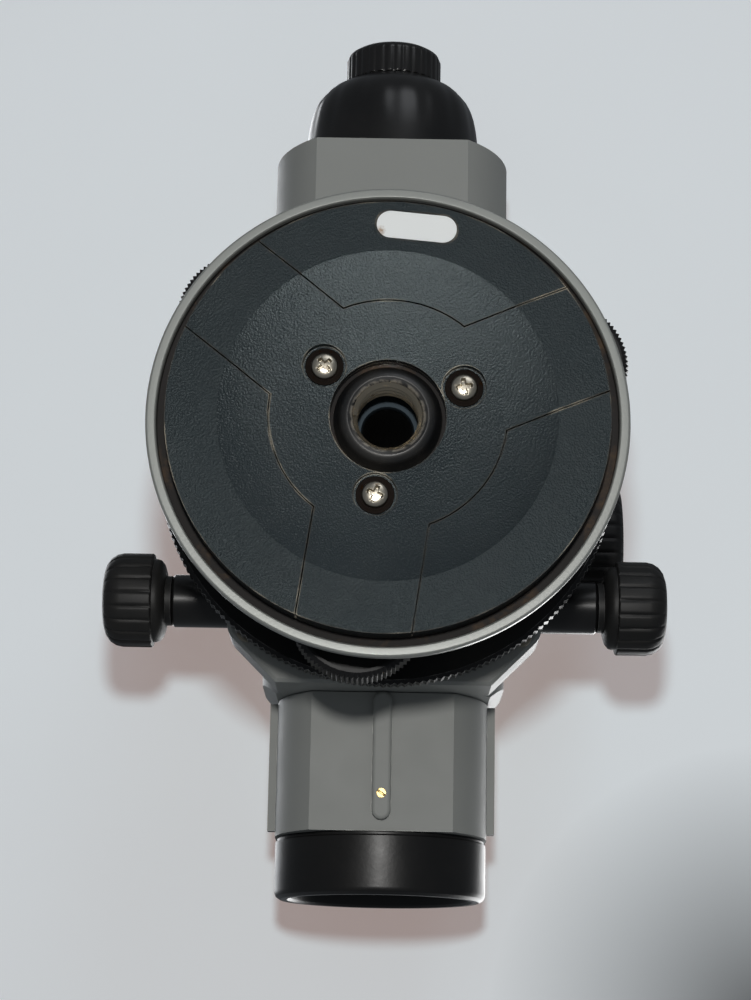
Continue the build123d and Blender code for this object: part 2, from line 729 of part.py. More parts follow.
# ---- barrel and objective ----
with BuildPart() as barrel:
    extrude(telescope_section(across(-turret_front - SEAM), half=barrel_half),
            amount=barrel_front - turret_front - SEAM)
    for side_x in (-1, 1):
        with BuildSketch(across(-turret_front - SEAM)) as side_rib:
            with Locations((side_x * (barrel_half - 0.5 + rib_reach / 2), 0)):
                Rectangle(rib_reach + 1, side_rib_height)
        extrude(side_rib.sketch, amount=barrel_front - 2 - turret_front)
    barrel_belly = axis_z - belly_depth + (body_half - barrel_half) / 2
    with BuildSketch(Plane.XY.offset(barrel_belly - rib_reach + 0.2)) as bottom_rib:
        with Locations((0, -(turret_front + rib_end) / 2)):
            SlotOverall(rib_end - turret_front - SEAM, rib_width, rotation=90)
    extrude(bottom_rib.sketch, amount=rib_reach + 1)
    fillet(barrel.faces().sort_by(Axis.Z)[0].edges(), radius=rib_round)
    turn(across(-turret_front + WALL + 1), spigot_r, 0, WALL + 2)
    turn(across(0), barrel_bore_r, turret_front - WALL - 2, barrel_front + 1, Mode.SUBTRACT)
    turn(Plane.XY.move(Location((0, rib_screw_y, 0))), rib_screw_r, barrel_belly - rib_reach - 1, axis_z, Mode.SUBTRACT)
save(barrel, "barrel")

with BuildPart() as rib_screw:
    screw_face = barrel_belly - rib_reach + rib_screw_sink
    turn(Plane.XY.move(Location((0, rib_screw_y, 0))), rib_screw_r, screw_face, axis_z - barrel_bore_r - rib_screw_gap)
    with BuildSketch(Plane.XY.offset(screw_face).move(Location((0, rib_screw_y, 0)))) as slot:
        Rectangle(2 * rib_screw_r, rib_slot, rotation=35)
    extrude(slot.sketch, amount=rib_slot, mode=Mode.SUBTRACT)
save(rib_screw, "rib_set_screw")

with BuildPart() as objective_ring:
    turn_ring(across(-barrel_front - SEAM), objective_ring_r, barrel_bore_r, 0, objective_ring_length)
    fillet(objective_ring.edges().filter_by(GeomType.CIRCLE).filter_by(lambda e: e.radius == objective_ring_r)
           .sort_by(Axis.Y)[0], radius=objective_round)
    chamfer(objective_ring.edges().filter_by(GeomType.CIRCLE).filter_by(lambda e: e.radius == barrel_bore_r)
            .sort_by(Axis.Y)[0], objective_bevel)
save(objective_ring, "objective_ring")

with BuildPart() as objective_cell:
    turn_ring(across(0), barrel_bore_r, barrel_bore_r - cell_wall, cell_rear, barrel_front + 10)
    turn_ring(across(0), barrel_bore_r, barrel_bore_r - cell_wall - 1.5, barrel_front + 7.5, barrel_front + 10)
save(objective_cell, "objective_cell")

with BuildPart() as objective_lenses:
    lens_r = barrel_bore_r - cell_wall - lens_clearance
    for start, stop, bulge in ((barrel_front - 0.5, barrel_front + 5, 2.0),
                               (barrel_front - 7, barrel_front - 4, -1.2)):
        with BuildSketch(Plane.YZ) as lens_profile:
            with BuildLine():
                Polyline((-start, axis_z + lens_r), (-start, axis_z), (-stop - bulge, axis_z))
                ThreePointArc((-stop - bulge, axis_z), (-stop - 0.75 * bulge, axis_z + lens_r / 2),
                              (-stop, axis_z + lens_r))
                Line((-stop, axis_z + lens_r), (-start, axis_z + lens_r))
            make_face()
        revolve(lens_profile.sketch, axis=Axis((0, 0, axis_z), (0, 1, 0)))
save(objective_lenses, "objective_lenses")

# ---- focusing ----
with BuildPart() as focus_cell:
    turn_ring(across(0), barrel_bore_r - RUN, barrel_bore_r - focus_tube_wall, focus_tube_rear, focus_tube_front)
    rack_top = -pinion_pitch_r + pinion_module
    with BuildSketch(sideways(0, axis_z).offset(rack_x - rack_width / 2)) as rack_side:
        with Locations(((rack_rear - focus_tube_rear - 4) / 2, rack_top - 2.25 * pinion_module - rack_height / 2)):
            Rectangle(rack_rear + focus_tube_rear + 4, rack_height)
        pitch = pi * pinion_module
        for step in range(-9, 9):
            middle = pinion_y + (step + 0.5) * pitch
            base_z = rack_top - 2.25 * pinion_module - 0.1
            with BuildLine(mode=Mode.PRIVATE) as rack_tooth:
                Polyline((middle - 0.72, base_z), (middle - 0.2, rack_top), (middle + 0.2, rack_top),
                         (middle + 0.72, base_z), close=True)
            add(make_face(rack_tooth.edges(), mode=Mode.PRIVATE))
    extrude(rack_side.sketch, amount=rack_width)
save(focus_cell, "focus_cell")

with BuildPart() as focus_lens:
    turn(across(0), barrel_bore_r - focus_tube_wall, focus_tube_rear + 12, focus_tube_rear + 16)
save(focus_lens, "focus_lens")

with BuildPart() as focus_pinion:
    pinion_line = sideways(pinion_y, axis_z)
    root = pinion_pitch_r - 1.25 * pinion_module
    with BuildSketch(pinion_line.offset(rack_x - rack_width / 2)) as pinion_plan:
        Circle(root)
        with PolarLocations(root, pinion_teeth, start_angle=-90):
            with BuildLine(mode=Mode.PRIVATE) as tooth_line:
                Polyline((-0.2, -0.6), (2.1 * pinion_module, -0.18), (2.1 * pinion_module, 0.18), (-0.2, 0.6),
                         close=True)
            add(make_face(tooth_line.edges(), mode=Mode.PRIVATE))
    extrude(amount=rack_width)
    turn(pinion_line, focus_shaft_r, -focus_knob_start - focus_bore, rack_x - rack_width / 2)
save(focus_pinion, "focus_pinion")

with BuildPart() as focus_boss:
    turn_ring(sideways(pinion_y, axis_z), focus_boss_r, focus_shaft_r + RUN, -focus_boss_end, -body_half)
    turn_ring(sideways(pinion_y, axis_z), focus_boss_r - boss_step, focus_shaft_r + RUN, -body_half, -body_half + WALL)
save(focus_boss, "focus_boss")

with BuildPart() as focus_knob:
    turn(sideways(pinion_y, axis_z), focus_knob_r, -focus_knob_start - focus_knob_length, -focus_knob_start)
    fillet(focus_knob.faces().sort_by(Axis.X)[0].edges(), radius=knob_round)
    with BuildSketch(sideways(pinion_y, axis_z).offset(-focus_knob_start - focus_knob_length)) as flutes:
        with PolarLocations(focus_knob_r + flute_out, focus_flutes):
            Circle(flute_r)
    extrude(flutes.sketch, amount=focus_knob_length - knob_collar, mode=Mode.SUBTRACT)
    turn(sideways(pinion_y, axis_z), focus_shaft_r, -focus_knob_start - focus_bore, -focus_knob_start, Mode.SUBTRACT)
save(focus_knob, "focus_knob")

# ---- compensator ----
pivot_z = axis_z + pivot_height
prism_ys = (frame_front + 3, frame_rear - 3)
with BuildPart() as compensator_frame:
    with BuildSketch(Plane.XY.offset(floor_z)):
        with Locations((0, (frame_front + frame_rear) / 2)):
            Rectangle(2 * frame_half, frame_rear - frame_front)
    extrude(amount=frame_wall)
    for side_x in (-1, 1):
        with BuildSketch(Plane.XY.offset(floor_z)) as cheek:
            with Locations((side_x * (frame_half - frame_wall / 2), (frame_front + frame_rear) / 2)):
                Rectangle(frame_wall, frame_rear - frame_front - 10)
        extrude(cheek.sketch, amount=pivot_z + 3 - floor_z)
    for y in prism_ys:
        with BuildSketch(Plane.XY.offset(floor_z)) as bracket:
            with Locations((0, y)):
                Rectangle(2 * frame_half - frame_wall, 3)
        extrude(bracket.sketch, amount=axis_z - floor_z - prism_side * sin(radians(60)) / 2)
    turn(sideways(pivot_y, pivot_z), pivot_r, -frame_half, frame_half, Mode.SUBTRACT)
save(compensator_frame, "compensator_frame")

with BuildPart() as pivot_pin:
    turn(sideways(pivot_y, pivot_z), pivot_r, -frame_half, frame_half)
save(pivot_pin, "pendulum_pin")

with BuildPart() as pendulum:
    turn(sideways(pivot_y, pivot_z), 3.0, -pendulum_half, pendulum_half)
    with BuildSketch(Plane.XY.offset(floor_z + frame_wall + 4)) as hanger:
        for side_x in (-1, 1):
            with Locations((side_x * (pendulum_half - 1), pivot_y)):
                Rectangle(2, 8)
    extrude(hanger.sketch, amount=pivot_z - floor_z - frame_wall - 4)
    with BuildSketch(Plane.XY.offset(floor_z + frame_wall + 4)) as bob:
        with Locations((0, pivot_y)):
            Rectangle(2 * pendulum_half, 8)
    extrude(bob.sketch, amount=5)
    turn(sideways(pivot_y, pivot_z), pivot_r + RUN, -pendulum_half, pendulum_half, Mode.SUBTRACT)
save(pendulum, "pendulum")

with BuildPart() as pendulum_prism:
    with BuildSketch(sideways(pivot_y, axis_z).offset(-pendulum_half + 2)) as prism_side_view:
        with BuildLine():
            Polyline((-prism_side / 2, -prism_side / 2), (prism_side / 2, -prism_side / 2), (0, prism_side / 2),
                     close=True)
        make_face()
    extrude(prism_side_view.sketch, amount=2 * (pendulum_half - 2))
save(pendulum_prism, "pendulum_prism")

with BuildPart() as fixed_prisms:
    for y in prism_ys:
        with BuildSketch(sideways(y, axis_z).offset(-frame_half + frame_wall)) as prism_view:
            RegularPolygon(prism_side / 2, 6)
        extrude(prism_view.sketch, amount=2 * (frame_half - frame_wall))
save(fixed_prisms, "fixed_prisms")

# ---- eyepiece end ----
with BuildPart() as eyepiece_tube:
    turn_ring(across(0), tube_r, tube_bore_r, -tube_end, -tube_front)
    turn_ring(across(0), flange_r, tube_bore_r, -body_rear - flange_thickness, -body_rear)
save(eyepiece_tube, "eyepiece_tube")

with BuildPart() as reticle_holder:
    turn_ring(across(0), tube_bore_r, reticle_r, -reticle_y - reticle_length, -reticle_y)
save(reticle_holder, "reticle_holder")

with BuildPart() as reticle_glass:
    turn(across(0), reticle_r, -reticle_y - 2.5, -reticle_y - 1)
save(reticle_glass, "reticle_glass")

with BuildPart() as bell_cover:
    with BuildSketch(Plane.YZ) as bell_profile:
        with BuildLine():
            y0 = body_rear + SEAM
            Polyline(
                (y0, axis_z + bell_base_r - bell_wall),
                (y0, axis_z + bell_base_r),
                (y0 + 4, axis_z + bell_base_r),
                (y0 + bell_shoulder - 3, axis_z + bell_shoulder_r),
                (y0 + bell_shoulder + 1, axis_z + bell_shoulder_r - 3),
                (y0 + bell_length - 1.5, axis_z + bell_neck_r + 0.8),
                (y0 + bell_length, axis_z + bell_neck_r - 0.5),
                (y0 + bell_length, axis_z + tube_bore_r + PLAY),
                (y0 + bell_length - 2, axis_z + tube_bore_r + PLAY),
                (y0 + bell_shoulder - 1, axis_z + bell_shoulder_r - 3 - bell_wall),
                (y0 + 4, axis_z + bell_base_r - bell_wall),
                close=True,
            )
        make_face()
    revolve(bell_profile.sketch, axis=Axis((0, 0, axis_z), (0, 1, 0)))
save(bell_cover, "bell_cover")

with BuildPart() as eyepiece_ring:
    ring_start = body_rear + SEAM + bell_length + PLAY
    turn(across(0), eyepiece_r, -eyepiece_end, -ring_start)
    fillet(eyepiece_ring.faces().sort_by(Axis.Y)[-1].edges(), radius=eyepiece_round)
    turn(across(0), eyepiece_spigot_r, -ring_start, -eyepiece_spigot_start)
    turn(across(0), eyepiece_bore_r, -eyepiece_end, -eyepiece_spigot_start, Mode.SUBTRACT)
save(eyepiece_ring, "eyepiece_ring")

with BuildPart() as ocular_tube:
    turn_ring(across(0), eyepiece_bore_r - RUN, ocular_bore_r, -lens_tube_end, -lens_tube_start)
save(ocular_tube, "ocular_tube")

with BuildPart() as ocular_lenses:
    for y in (lens_tube_start + 4, lens_tube_end - 5):
        turn(across(0), ocular_bore_r, -y - 3, -y)
save(ocular_lenses, "ocular_lenses")

# ---- circular level and its mirror ----
level_plane = Plane.XY.move(Location((level_x, level_y, 0)))
hinge_y = level_y - level_r - 1.5
hinge_z = level_z + level_height + 0.2
with BuildPart() as level_housing:
    turn(level_plane, level_r, level_z, level_z + level_height)
    with BuildSketch(Plane.XY.offset(level_z)) as arm:
        with Locations(((body_half + level_x) / 2, level_y)):
            Rectangle(level_x - body_half, 14)
    extrude(arm.sketch, amount=level_height - 3)
    for side_x in (-1, 1):
        with BuildSketch(Plane.XY.offset(level_z + 4)) as ear:
            with Locations((level_x + side_x * 8.5, hinge_y + 2.6)):
                Rectangle(2.4, 7.2)
        extrude(ear.sketch, amount=hinge_z + 1.6 - level_z - 4)
    turn(sideways(hinge_y, hinge_z), mirror_pin_r + RUN, level_x - 11, level_x + 11, Mode.SUBTRACT)
    turn(level_plane, vial_r, level_z + vial_floor, hinge_z + 2, Mode.SUBTRACT)
save(level_housing, "level_housing")

with BuildPart() as level_vial:
    turn(level_plane, vial_r, level_z + vial_floor, level_z + vial_floor + vial_height)
    fillet(level_vial.faces().sort_by(Axis.Z)[-1].edges(), radius=1.5)
save(level_vial, "level_vial")

with BuildPart() as level_screws:
    for angle in (-60, 60, 180):
        reach = level_r - 2 * level_screw_r
        spot_x = level_x + reach * cos(radians(angle))
        spot_y = level_y + reach * sin(radians(angle))
        turn(Plane.XY.move(Location((spot_x, spot_y, 0))), level_screw_r, level_z - level_screw_height, level_z)
save(level_screws, "level_screws")

with BuildPart() as mirror_frame:
    turn(sideways(hinge_y, hinge_z), mirror_pin_r, level_x - 9.6, level_x + 9.6)
    turn(sideways(hinge_y, hinge_z), 1.5, level_x - 7, level_x + 7)
    with BuildSketch(Plane.XY.offset(hinge_z + 0.3)) as lid:
        with Locations((level_x, hinge_y + mirror_length / 2)):
            RectangleRounded(14, mirror_length, 1.5)
    extrude(lid.sketch, amount=mirror_thickness)
save(mirror_frame, "mirror_frame")

with BuildPart() as mirror_glass:
    with BuildSketch(Plane.XY.offset(hinge_z + 0.3 - 0.4)) as pane:
        with Locations((level_x, hinge_y + mirror_length / 2 + 1.5)):
            RectangleRounded(12.5, mirror_length - 5, 1.0)
    extrude(pane.sketch, amount=0.4)
save(mirror_glass, "mirror_glass")

# ---- open sight on the crown ----
with BuildPart() as peep_sight:
    with BuildSketch(Plane.XY.offset(crown_z)):
        RectangleRounded(sight_width, sight_length, 2.0)
    extrude(amount=sight_base)
    with BuildSketch(Plane.XY.offset(crown_z + sight_base)) as posts:
        with Locations((0, sight_length / 2 - 3)):
            RectangleRounded(sight_width - 2, 3, 0.8)
        with Locations((0, -sight_length / 2 + 3)):
            RectangleRounded(2.2, 4, 0.8)
    extrude(posts.sketch, amount=sight_post)
    with BuildSketch(across(sight_length)) as notch:
        with BuildLine():
            top = crown_height + sight_base + sight_post
            Polyline((-1.8, top + 1), (0, top - 3.5), (1.8, top + 1), close=True)
        make_face()
    extrude(notch.sketch, amount=sight_length, mode=Mode.SUBTRACT)
save(peep_sight, "peep_sight")
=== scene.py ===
from math import atan2, cos, degrees, hypot, pi, radians, sin, tan

import bmesh
import bpy
from mathutils import Matrix, Vector


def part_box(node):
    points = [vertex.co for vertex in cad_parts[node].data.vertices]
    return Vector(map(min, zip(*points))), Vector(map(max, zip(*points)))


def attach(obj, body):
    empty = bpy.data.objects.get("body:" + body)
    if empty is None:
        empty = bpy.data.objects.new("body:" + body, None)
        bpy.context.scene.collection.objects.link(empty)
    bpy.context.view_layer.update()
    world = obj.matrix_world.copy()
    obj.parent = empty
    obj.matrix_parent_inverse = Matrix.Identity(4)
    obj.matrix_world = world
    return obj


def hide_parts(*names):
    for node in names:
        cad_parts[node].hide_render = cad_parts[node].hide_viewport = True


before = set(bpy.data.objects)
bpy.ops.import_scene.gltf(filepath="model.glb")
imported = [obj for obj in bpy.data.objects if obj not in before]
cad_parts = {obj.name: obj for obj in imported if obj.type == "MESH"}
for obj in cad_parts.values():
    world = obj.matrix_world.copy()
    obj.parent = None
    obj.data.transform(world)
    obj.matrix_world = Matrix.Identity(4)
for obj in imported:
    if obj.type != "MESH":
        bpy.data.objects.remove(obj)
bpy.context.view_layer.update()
scene = bpy.context.scene

# An automatic level, seen from beneath. Shapes are drawn in millimetres and placed in metres.
MM = 0.001
FOOT_ANGLES = {"front": 278.0, "left": 38.0, "right": 158.0}  # degrees round the vertical axis
DISH_R = 38.7  # the underside disc's flat land ends here and its dish begins
BOWL_SLOPE = 7.0  # degrees that the finish adds to the dish at its edge
PLATE_HOLE_R = 10.6  # the rim plate's hole for the tripod bush
POCKET_FLOOR = 6.4  # height of the floor that the underside disc lies against
GROOVE_R = 52.75  # dirt lies inside this radius of the rim plate
BUSH_BORE_R = 7.9
THREAD_PITCH = 25.4 / 11
THREAD_TURNS = 3.5
THREAD_STEPS = 64  # in one turn
SCREW_CIRCLE = 18.6  # radius that the three plate screws stand on
SCREW_HEAD_R = 3.15
WHEEL_TEETH = 84
CIRCLE_TEETH = 200
CIRCLE_BORE_R = 24.05
DIAL_WIDTH = 3.0
SHAFT_HOLE_R = 3.2  # through the fine motion's tubes and knobs
TUBE_START = 35.0  # distance from the vertical axis to the tubes' inner ends
COLLAR_START = 52.15  # the collar between each tube and its knob
COLLAR_R = 6.1
KNOB_START = 53.6
KNOB_RIBS = 20
FOCUS_RIBS = 30
BELL_RIBS = 16
GRIP_RIBS = 32


def span(node):
    """The lowest and highest corners of a CAD node, in millimetres."""
    low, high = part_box(node)
    return low / MM, high / MM


def centre(node):
    low, high = span(node)
    return (low + high) / 2


AXIS_Z = centre("objective_ring").z
LABEL_STAIN = Vector((span("base_label")[1].x - 0.9, centre("base_label").y - 1.2, 0.1)) * MM
SHAFT = centre("tangent_shaft")
FOOT_CIRCLE = hypot(centre("foot_wheel_front").x, centre("foot_wheel_front").y)


# ---- node tools ----

def new_group(name, inputs, outputs):
    """An empty shader group with named number sockets, and its two ends."""
    group = bpy.data.node_groups.new(name, "ShaderNodeTree")
    for label, value in inputs:
        socket = group.interface.new_socket(label, in_out="INPUT", socket_type="NodeSocketFloat")
        socket.default_value = value
    for label in outputs:
        group.interface.new_socket(label, in_out="OUTPUT", socket_type="NodeSocketFloat")
    return group, group.nodes.new("NodeGroupInput"), group.nodes.new("NodeGroupOutput")


class Net:
    """Short calls for adding linked nodes to one tree."""

    def __init__(self, tree):
        self.tree = tree

    def feed(self, socket, value):
        """Link a socket to another one, or set its constant."""
        if isinstance(value, bpy.types.NodeSocket):
            self.tree.links.new(value, socket)
        else:
            socket.default_value = value

    def add(self, kind, inputs=None, **settings):
        node = self.tree.nodes.new("ShaderNode" + kind)
        for key, value in settings.items():
            setattr(node, key, value)
        for key, value in (inputs or {}).items():
            self.feed(node.inputs[key], value)
        return node

    def math(self, operation, a, b=0.0):
        return self.add("Math", {0: a, 1: b}, operation=operation).outputs[0]

    def ramp(self, value, low, high, to_low=0.0, to_high=1.0):
        node = self.add("MapRange", {"Value": value, "From Min": low, "From Max": high,
                                     "To Min": to_low, "To Max": to_high})
        return node.outputs[0]

    def blend(self, factor, a, b):
        node = self.add("Mix", data_type="RGBA", clamp_factor=True)
        for key, value in ((0, factor), (6, a), (7, b)):
            self.feed(node.inputs[key], value)
        return node.outputs[2]

    def place(self):
        """The shaded point in the object's own metres."""
        return self.add("TexCoord").outputs["Object"]

    def radius(self, x, y):
        """Distance from the vertical axis, in metres."""
        return self.math("SQRT", self.math("ADD", self.math("POWER", x, 2.0), self.math("POWER", y, 2.0)))

    def noise(self, scale, detail=3.0, roughness=0.55, vector=None):
        node = self.add("TexNoise", {"Vector": vector or self.place(), "Scale": scale, "Detail": detail,
                                     "Roughness": roughness})
        return node.outputs["Fac"]

    def group(self, group, **inputs):
        node = self.tree.nodes.new("ShaderNodeGroup")
        node.node_tree = group
        for key, value in inputs.items():
            self.feed(node.inputs[key.replace("_", " ")], value)
        return node


# ---- effects shared by several finishes ----

def make_edge_wear():
    """Mask of worn outer edges, broken up by noise."""
    group, ends, out = new_group(
        "edge wear", [("Width", 0.0006), ("Amount", 1.0), ("Patch Scale", 400.0)], ["Mask"])
    net = Net(group)
    rounded = net.add("Bevel", {"Radius": ends.outputs["Width"]}, samples=4)
    flat = net.add("NewGeometry")
    dot = net.add("VectorMath", {0: rounded.outputs["Normal"], 1: flat.outputs["Normal"]},
                  operation="DOT_PRODUCT")
    bend = net.math("SUBTRACT", 1.0, dot.outputs["Value"])
    patch = net.ramp(net.noise(ends.outputs["Patch Scale"], 4.0), 0.35, 0.65, 0.25, 1.6)
    amount = net.math("MULTIPLY", patch, ends.outputs["Amount"])
    mask = net.math("MULTIPLY", net.math("MULTIPLY", bend, 9.0), amount)
    group.links.new(net.ramp(mask, 0.25, 1.0), out.inputs["Mask"])
    return group


def make_mottle():
    """Soft variation of tone over a surface, around 1."""
    group, ends, out = new_group("mottle", [("Scale", 40.0), ("Strength", 0.08)], ["Value"])
    net = Net(group)
    field = net.math("SUBTRACT", net.noise(ends.outputs["Scale"], 5.0, 0.6), 0.5)
    strength = net.math("MULTIPLY", ends.outputs["Strength"], 2.0)
    group.links.new(net.math("ADD", net.math("MULTIPLY", field, strength), 1.0), out.inputs["Value"])
    return group


def make_crinkle():
    """Height of a baked crinkle finish: small rounded cells with finer wrinkles in them, and a mask for
    glints painted on the finest wrinkles.
    """
    group, ends, out = new_group("crinkle", [("Scale", 1500.0)], ["Height", "Painted Glint"])
    net = Net(group)
    place = net.place()
    cells = net.add("TexVoronoi", {"Vector": place, "Scale": ends.outputs["Scale"]}, feature="SMOOTH_F1")
    fine = net.noise(net.math("MULTIPLY", ends.outputs["Scale"], 2.2), 3.0, 0.6, place)
    height = net.math("ADD", net.math("MULTIPLY", cells.outputs["Distance"], 0.8),
                      net.math("MULTIPLY", fine, 0.5))
    group.links.new(height, out.inputs["Height"])
    # painted highlight: the peaks of the finest wrinkles become glints painted into the colour
    group.links.new(net.ramp(fine, 0.66, 0.78), out.inputs["Painted Glint"])
    return group


def make_dust():
    """Mask of light dust: broad patches with specks in them."""
    group, ends, out = new_group("dust", [("Amount", 0.3)], ["Mask"])
    net = Net(group)
    broad = net.ramp(net.noise(55.0, 4.0, 0.6), 0.42, 0.75)
    specks = net.ramp(net.noise(2600.0, 2.0, 0.5), 0.66, 0.74)
    sum_of_both = net.math("ADD", net.math("MULTIPLY", broad, 0.5), net.math("MULTIPLY", specks, 0.6))
    group.links.new(net.math("MULTIPLY", sum_of_both, ends.outputs["Amount"]), out.inputs["Mask"])
    return group


EDGE_WEAR = make_edge_wear()
MOTTLE = make_mottle()
CRINKLE = make_crinkle()
DUST = make_dust()


# ---- finishes ----

def new_finish(name, **constants):
    """A material with its Principled shader's constant values set; returns it with its net and shader."""
    material = bpy.data.materials.new(name)
    material.use_nodes = True
    net = Net(material.node_tree)
    shader = material.node_tree.nodes["Principled BSDF"]
    for label, value in constants.items():
        shader.inputs[label.replace("_", " ")].default_value = value
    return material, net, shader


def wire(material, source, shader, label):
    material.node_tree.links.new(source, shader.inputs[label])


def bump(material, net, shader, height, distance):
    """Raise the shaded surface by height times distance, in metres."""
    node = net.add("Bump", {"Height": height, "Distance": distance})
    wire(material, node.outputs["Normal"], shader, "Normal")


def tint(net, colour, value):
    """A colour multiplied by a varying value."""
    node = net.add("VectorMath", {0: colour[:3], 1: (1, 1, 1)}, operation="MULTIPLY")
    spread = net.add("CombineXYZ", {0: value, 1: value, 2: value})
    net.tree.links.new(spread.outputs[0], node.inputs[1])
    return node.outputs[0]


def painted(name, colour, bare, roughness, wear=1.0, width=0.0005, tone=0.06, dust=0.0, patch=350.0,
            level=0.5, lip=None):
    """Paint with orange peel, worn to bare metal along its outer edges and inside the lip radius."""
    material, net, shader = new_finish(name, Specular_IOR_Level=level)
    worn = net.group(EDGE_WEAR, Width=width, Amount=wear, Patch_Scale=patch).outputs["Mask"]
    shade = net.group(MOTTLE, Scale=45.0, Strength=tone).outputs["Value"]
    if lip:
        x, y, z = net.add("SeparateXYZ", {0: net.place()}).outputs
        inside = net.ramp(net.radius(x, y), lip * MM, lip * 0.93 * MM)
        chips = net.math("MULTIPLY", inside, net.ramp(net.noise(600.0, 4.0), 0.40, 0.55))
        worn = net.math("MAXIMUM", worn, chips)
    mixed = net.blend(worn, tint(net, colour, shade), bare + (1.0,))
    if dust:
        veil = net.group(DUST, Amount=dust).outputs["Mask"]
        mixed = net.blend(veil, mixed, (0.42, 0.37, 0.30, 1.0))
    wire(material, mixed, shader, "Base Color")
    wire(material, net.math("MULTIPLY", worn, 0.85), shader, "Metallic")
    rough = net.math("MULTIPLY", net.group(MOTTLE, Scale=120.0, Strength=0.2).outputs["Value"], roughness)
    wire(material, rough, shader, "Roughness")
    bump(material, net, shader, net.noise(900.0, 3.0), 0.00002)
    return material


def crinkled(name, colour):
    """Baked crinkle enamel: smooth in the dish, coarser on the land, dusty, with rubbed edges and painted
    glints.

    The bump also turns the shading normals of the dish like those of a shallow bowl.
    """
    material, net, shader = new_finish(name, Specular_IOR_Level=0.21, Specular_Tint=(0.82, 0.97, 1.0, 1.0))
    x, y, z = net.add("SeparateXYZ", {0: net.place()}).outputs
    radius = net.radius(x, y)
    land = net.math("GREATER_THAN", radius, DISH_R * MM)
    texture = net.group(CRINKLE, Scale=2600.0)
    worn = net.group(EDGE_WEAR, Width=0.0006, Amount=0.5, Patch_Scale=170.0).outputs["Mask"]
    veil = net.group(DUST, Amount=0.04).outputs["Mask"]
    shade = net.group(MOTTLE, Scale=30.0, Strength=0.22).outputs["Value"]
    # painted highlight: bright bluish glints are painted into the base colour on the finest wrinkles
    base = net.blend(texture.outputs["Painted Glint"], tint(net, colour, shade), (0.10, 0.115, 0.12, 1.0))
    dusty = net.blend(veil, base, (0.20, 0.18, 0.15, 1.0))
    patches = net.ramp(net.noise(60.0, 3.0), 0.52, 0.62)
    rubbed = net.blend(patches, (0.06, 0.045, 0.03, 1.0), (0.50, 0.43, 0.32, 1.0))
    wire(material, net.blend(worn, dusty, rubbed), shader, "Base Color")
    wire(material, net.ramp(land, 0.0, 1.0, 0.26, 0.36), shader, "Roughness")
    depth = net.ramp(land, 0.0, 1.0, 0.00008, 0.00013)
    wrinkles = net.math("MULTIPLY", texture.outputs["Height"], depth)
    reach = net.math("MINIMUM", net.math("DIVIDE", radius, DISH_R * MM), 1.0)
    bowl_depth = DISH_R * MM / 4 * tan(radians(BOWL_SLOPE))
    bowl = net.math("MULTIPLY", net.math("POWER", reach, 4.0), bowl_depth)
    bump(material, net, shader, net.math("ADD", wrinkles, bowl), 1.0)
    return material


def turned_metal(name, colour, roughness, stain=0.15, stain_colour=(0.20, 0.12, 0.06, 1.0)):
    """Turned metal with a very fine grain and spots of tarnish."""
    material, net, shader = new_finish(name, Metallic=1.0)
    shade = net.group(MOTTLE, Scale=140.0, Strength=0.1).outputs["Value"]
    spots = net.ramp(net.noise(420.0, 5.0, 0.7), 0.60, 0.72, 0.0, stain)
    wire(material, net.blend(spots, tint(net, colour, shade), stain_colour), shader, "Base Color")
    rough = net.math("ADD", net.math("MULTIPLY", spots, 1.5), roughness)
    wire(material, rough, shader, "Roughness")
    bump(material, net, shader, net.noise(7000.0, 2.0), 0.000006)
    return material


def plastic(name, colour, roughness, dust=0.2, depth=0.00001, wear=0.25, level=0.5):
    """Moulded plastic with a faint grain, dust and rubbed ribs."""
    material, net, shader = new_finish(name, Specular_IOR_Level=level)
    veil = net.group(DUST, Amount=dust).outputs["Mask"]
    worn = net.group(EDGE_WEAR, Width=0.0006, Amount=wear, Patch_Scale=260.0).outputs["Mask"]
    shade = net.group(MOTTLE, Scale=60.0, Strength=0.15).outputs["Value"]
    base = net.blend(veil, tint(net, colour, shade), (0.22, 0.20, 0.18, 1.0))
    wire(material, net.blend(worn, base, (0.10, 0.10, 0.10, 1.0)), shader, "Base Color")
    rough = net.math("ADD", net.math("MULTIPLY", veil, 0.5), roughness)
    wire(material, rough, shader, "Roughness")
    bump(material, net, shader, net.noise(2400.0, 3.0), depth)
    return material


def rim_finish():
    """The plate's grey rim, with brown dirt lying in the groove round the underside disc."""
    material, net, shader = new_finish("rim silver", Coat_Weight=0.1)
    x, y, z = net.add("SeparateXYZ", {0: net.place()}).outputs
    groove = net.math("LESS_THAN", net.radius(x, y), GROOVE_R * MM)
    below = net.math("LESS_THAN", z, (POCKET_FLOOR + 0.2) * MM)
    grime = net.math("MULTIPLY", groove, below)
    rust = net.ramp(net.noise(90.0, 5.0, 0.7), 0.52, 0.72)
    dirt = net.blend(rust, (0.012, 0.010, 0.009, 1.0), (0.085, 0.050, 0.024, 1.0))
    worn = net.group(EDGE_WEAR, Width=0.0005, Amount=1.2, Patch_Scale=300.0).outputs["Mask"]
    shade = net.group(MOTTLE, Scale=70.0, Strength=0.12).outputs["Value"]
    paint = net.blend(worn, tint(net, (0.25, 0.26, 0.245), shade), (0.36, 0.37, 0.35, 1.0))
    wire(material, net.blend(grime, paint, dirt), shader, "Base Color")
    metal = net.math("MULTIPLY", net.math("SUBTRACT", 1.0, grime), 0.25)
    wire(material, metal, shader, "Metallic")
    wire(material, net.math("ADD", net.math("MULTIPLY", grime, 0.4), 0.42), shader, "Roughness")
    bump(material, net, shader, net.noise(1400.0, 3.0), 0.00003)
    return material


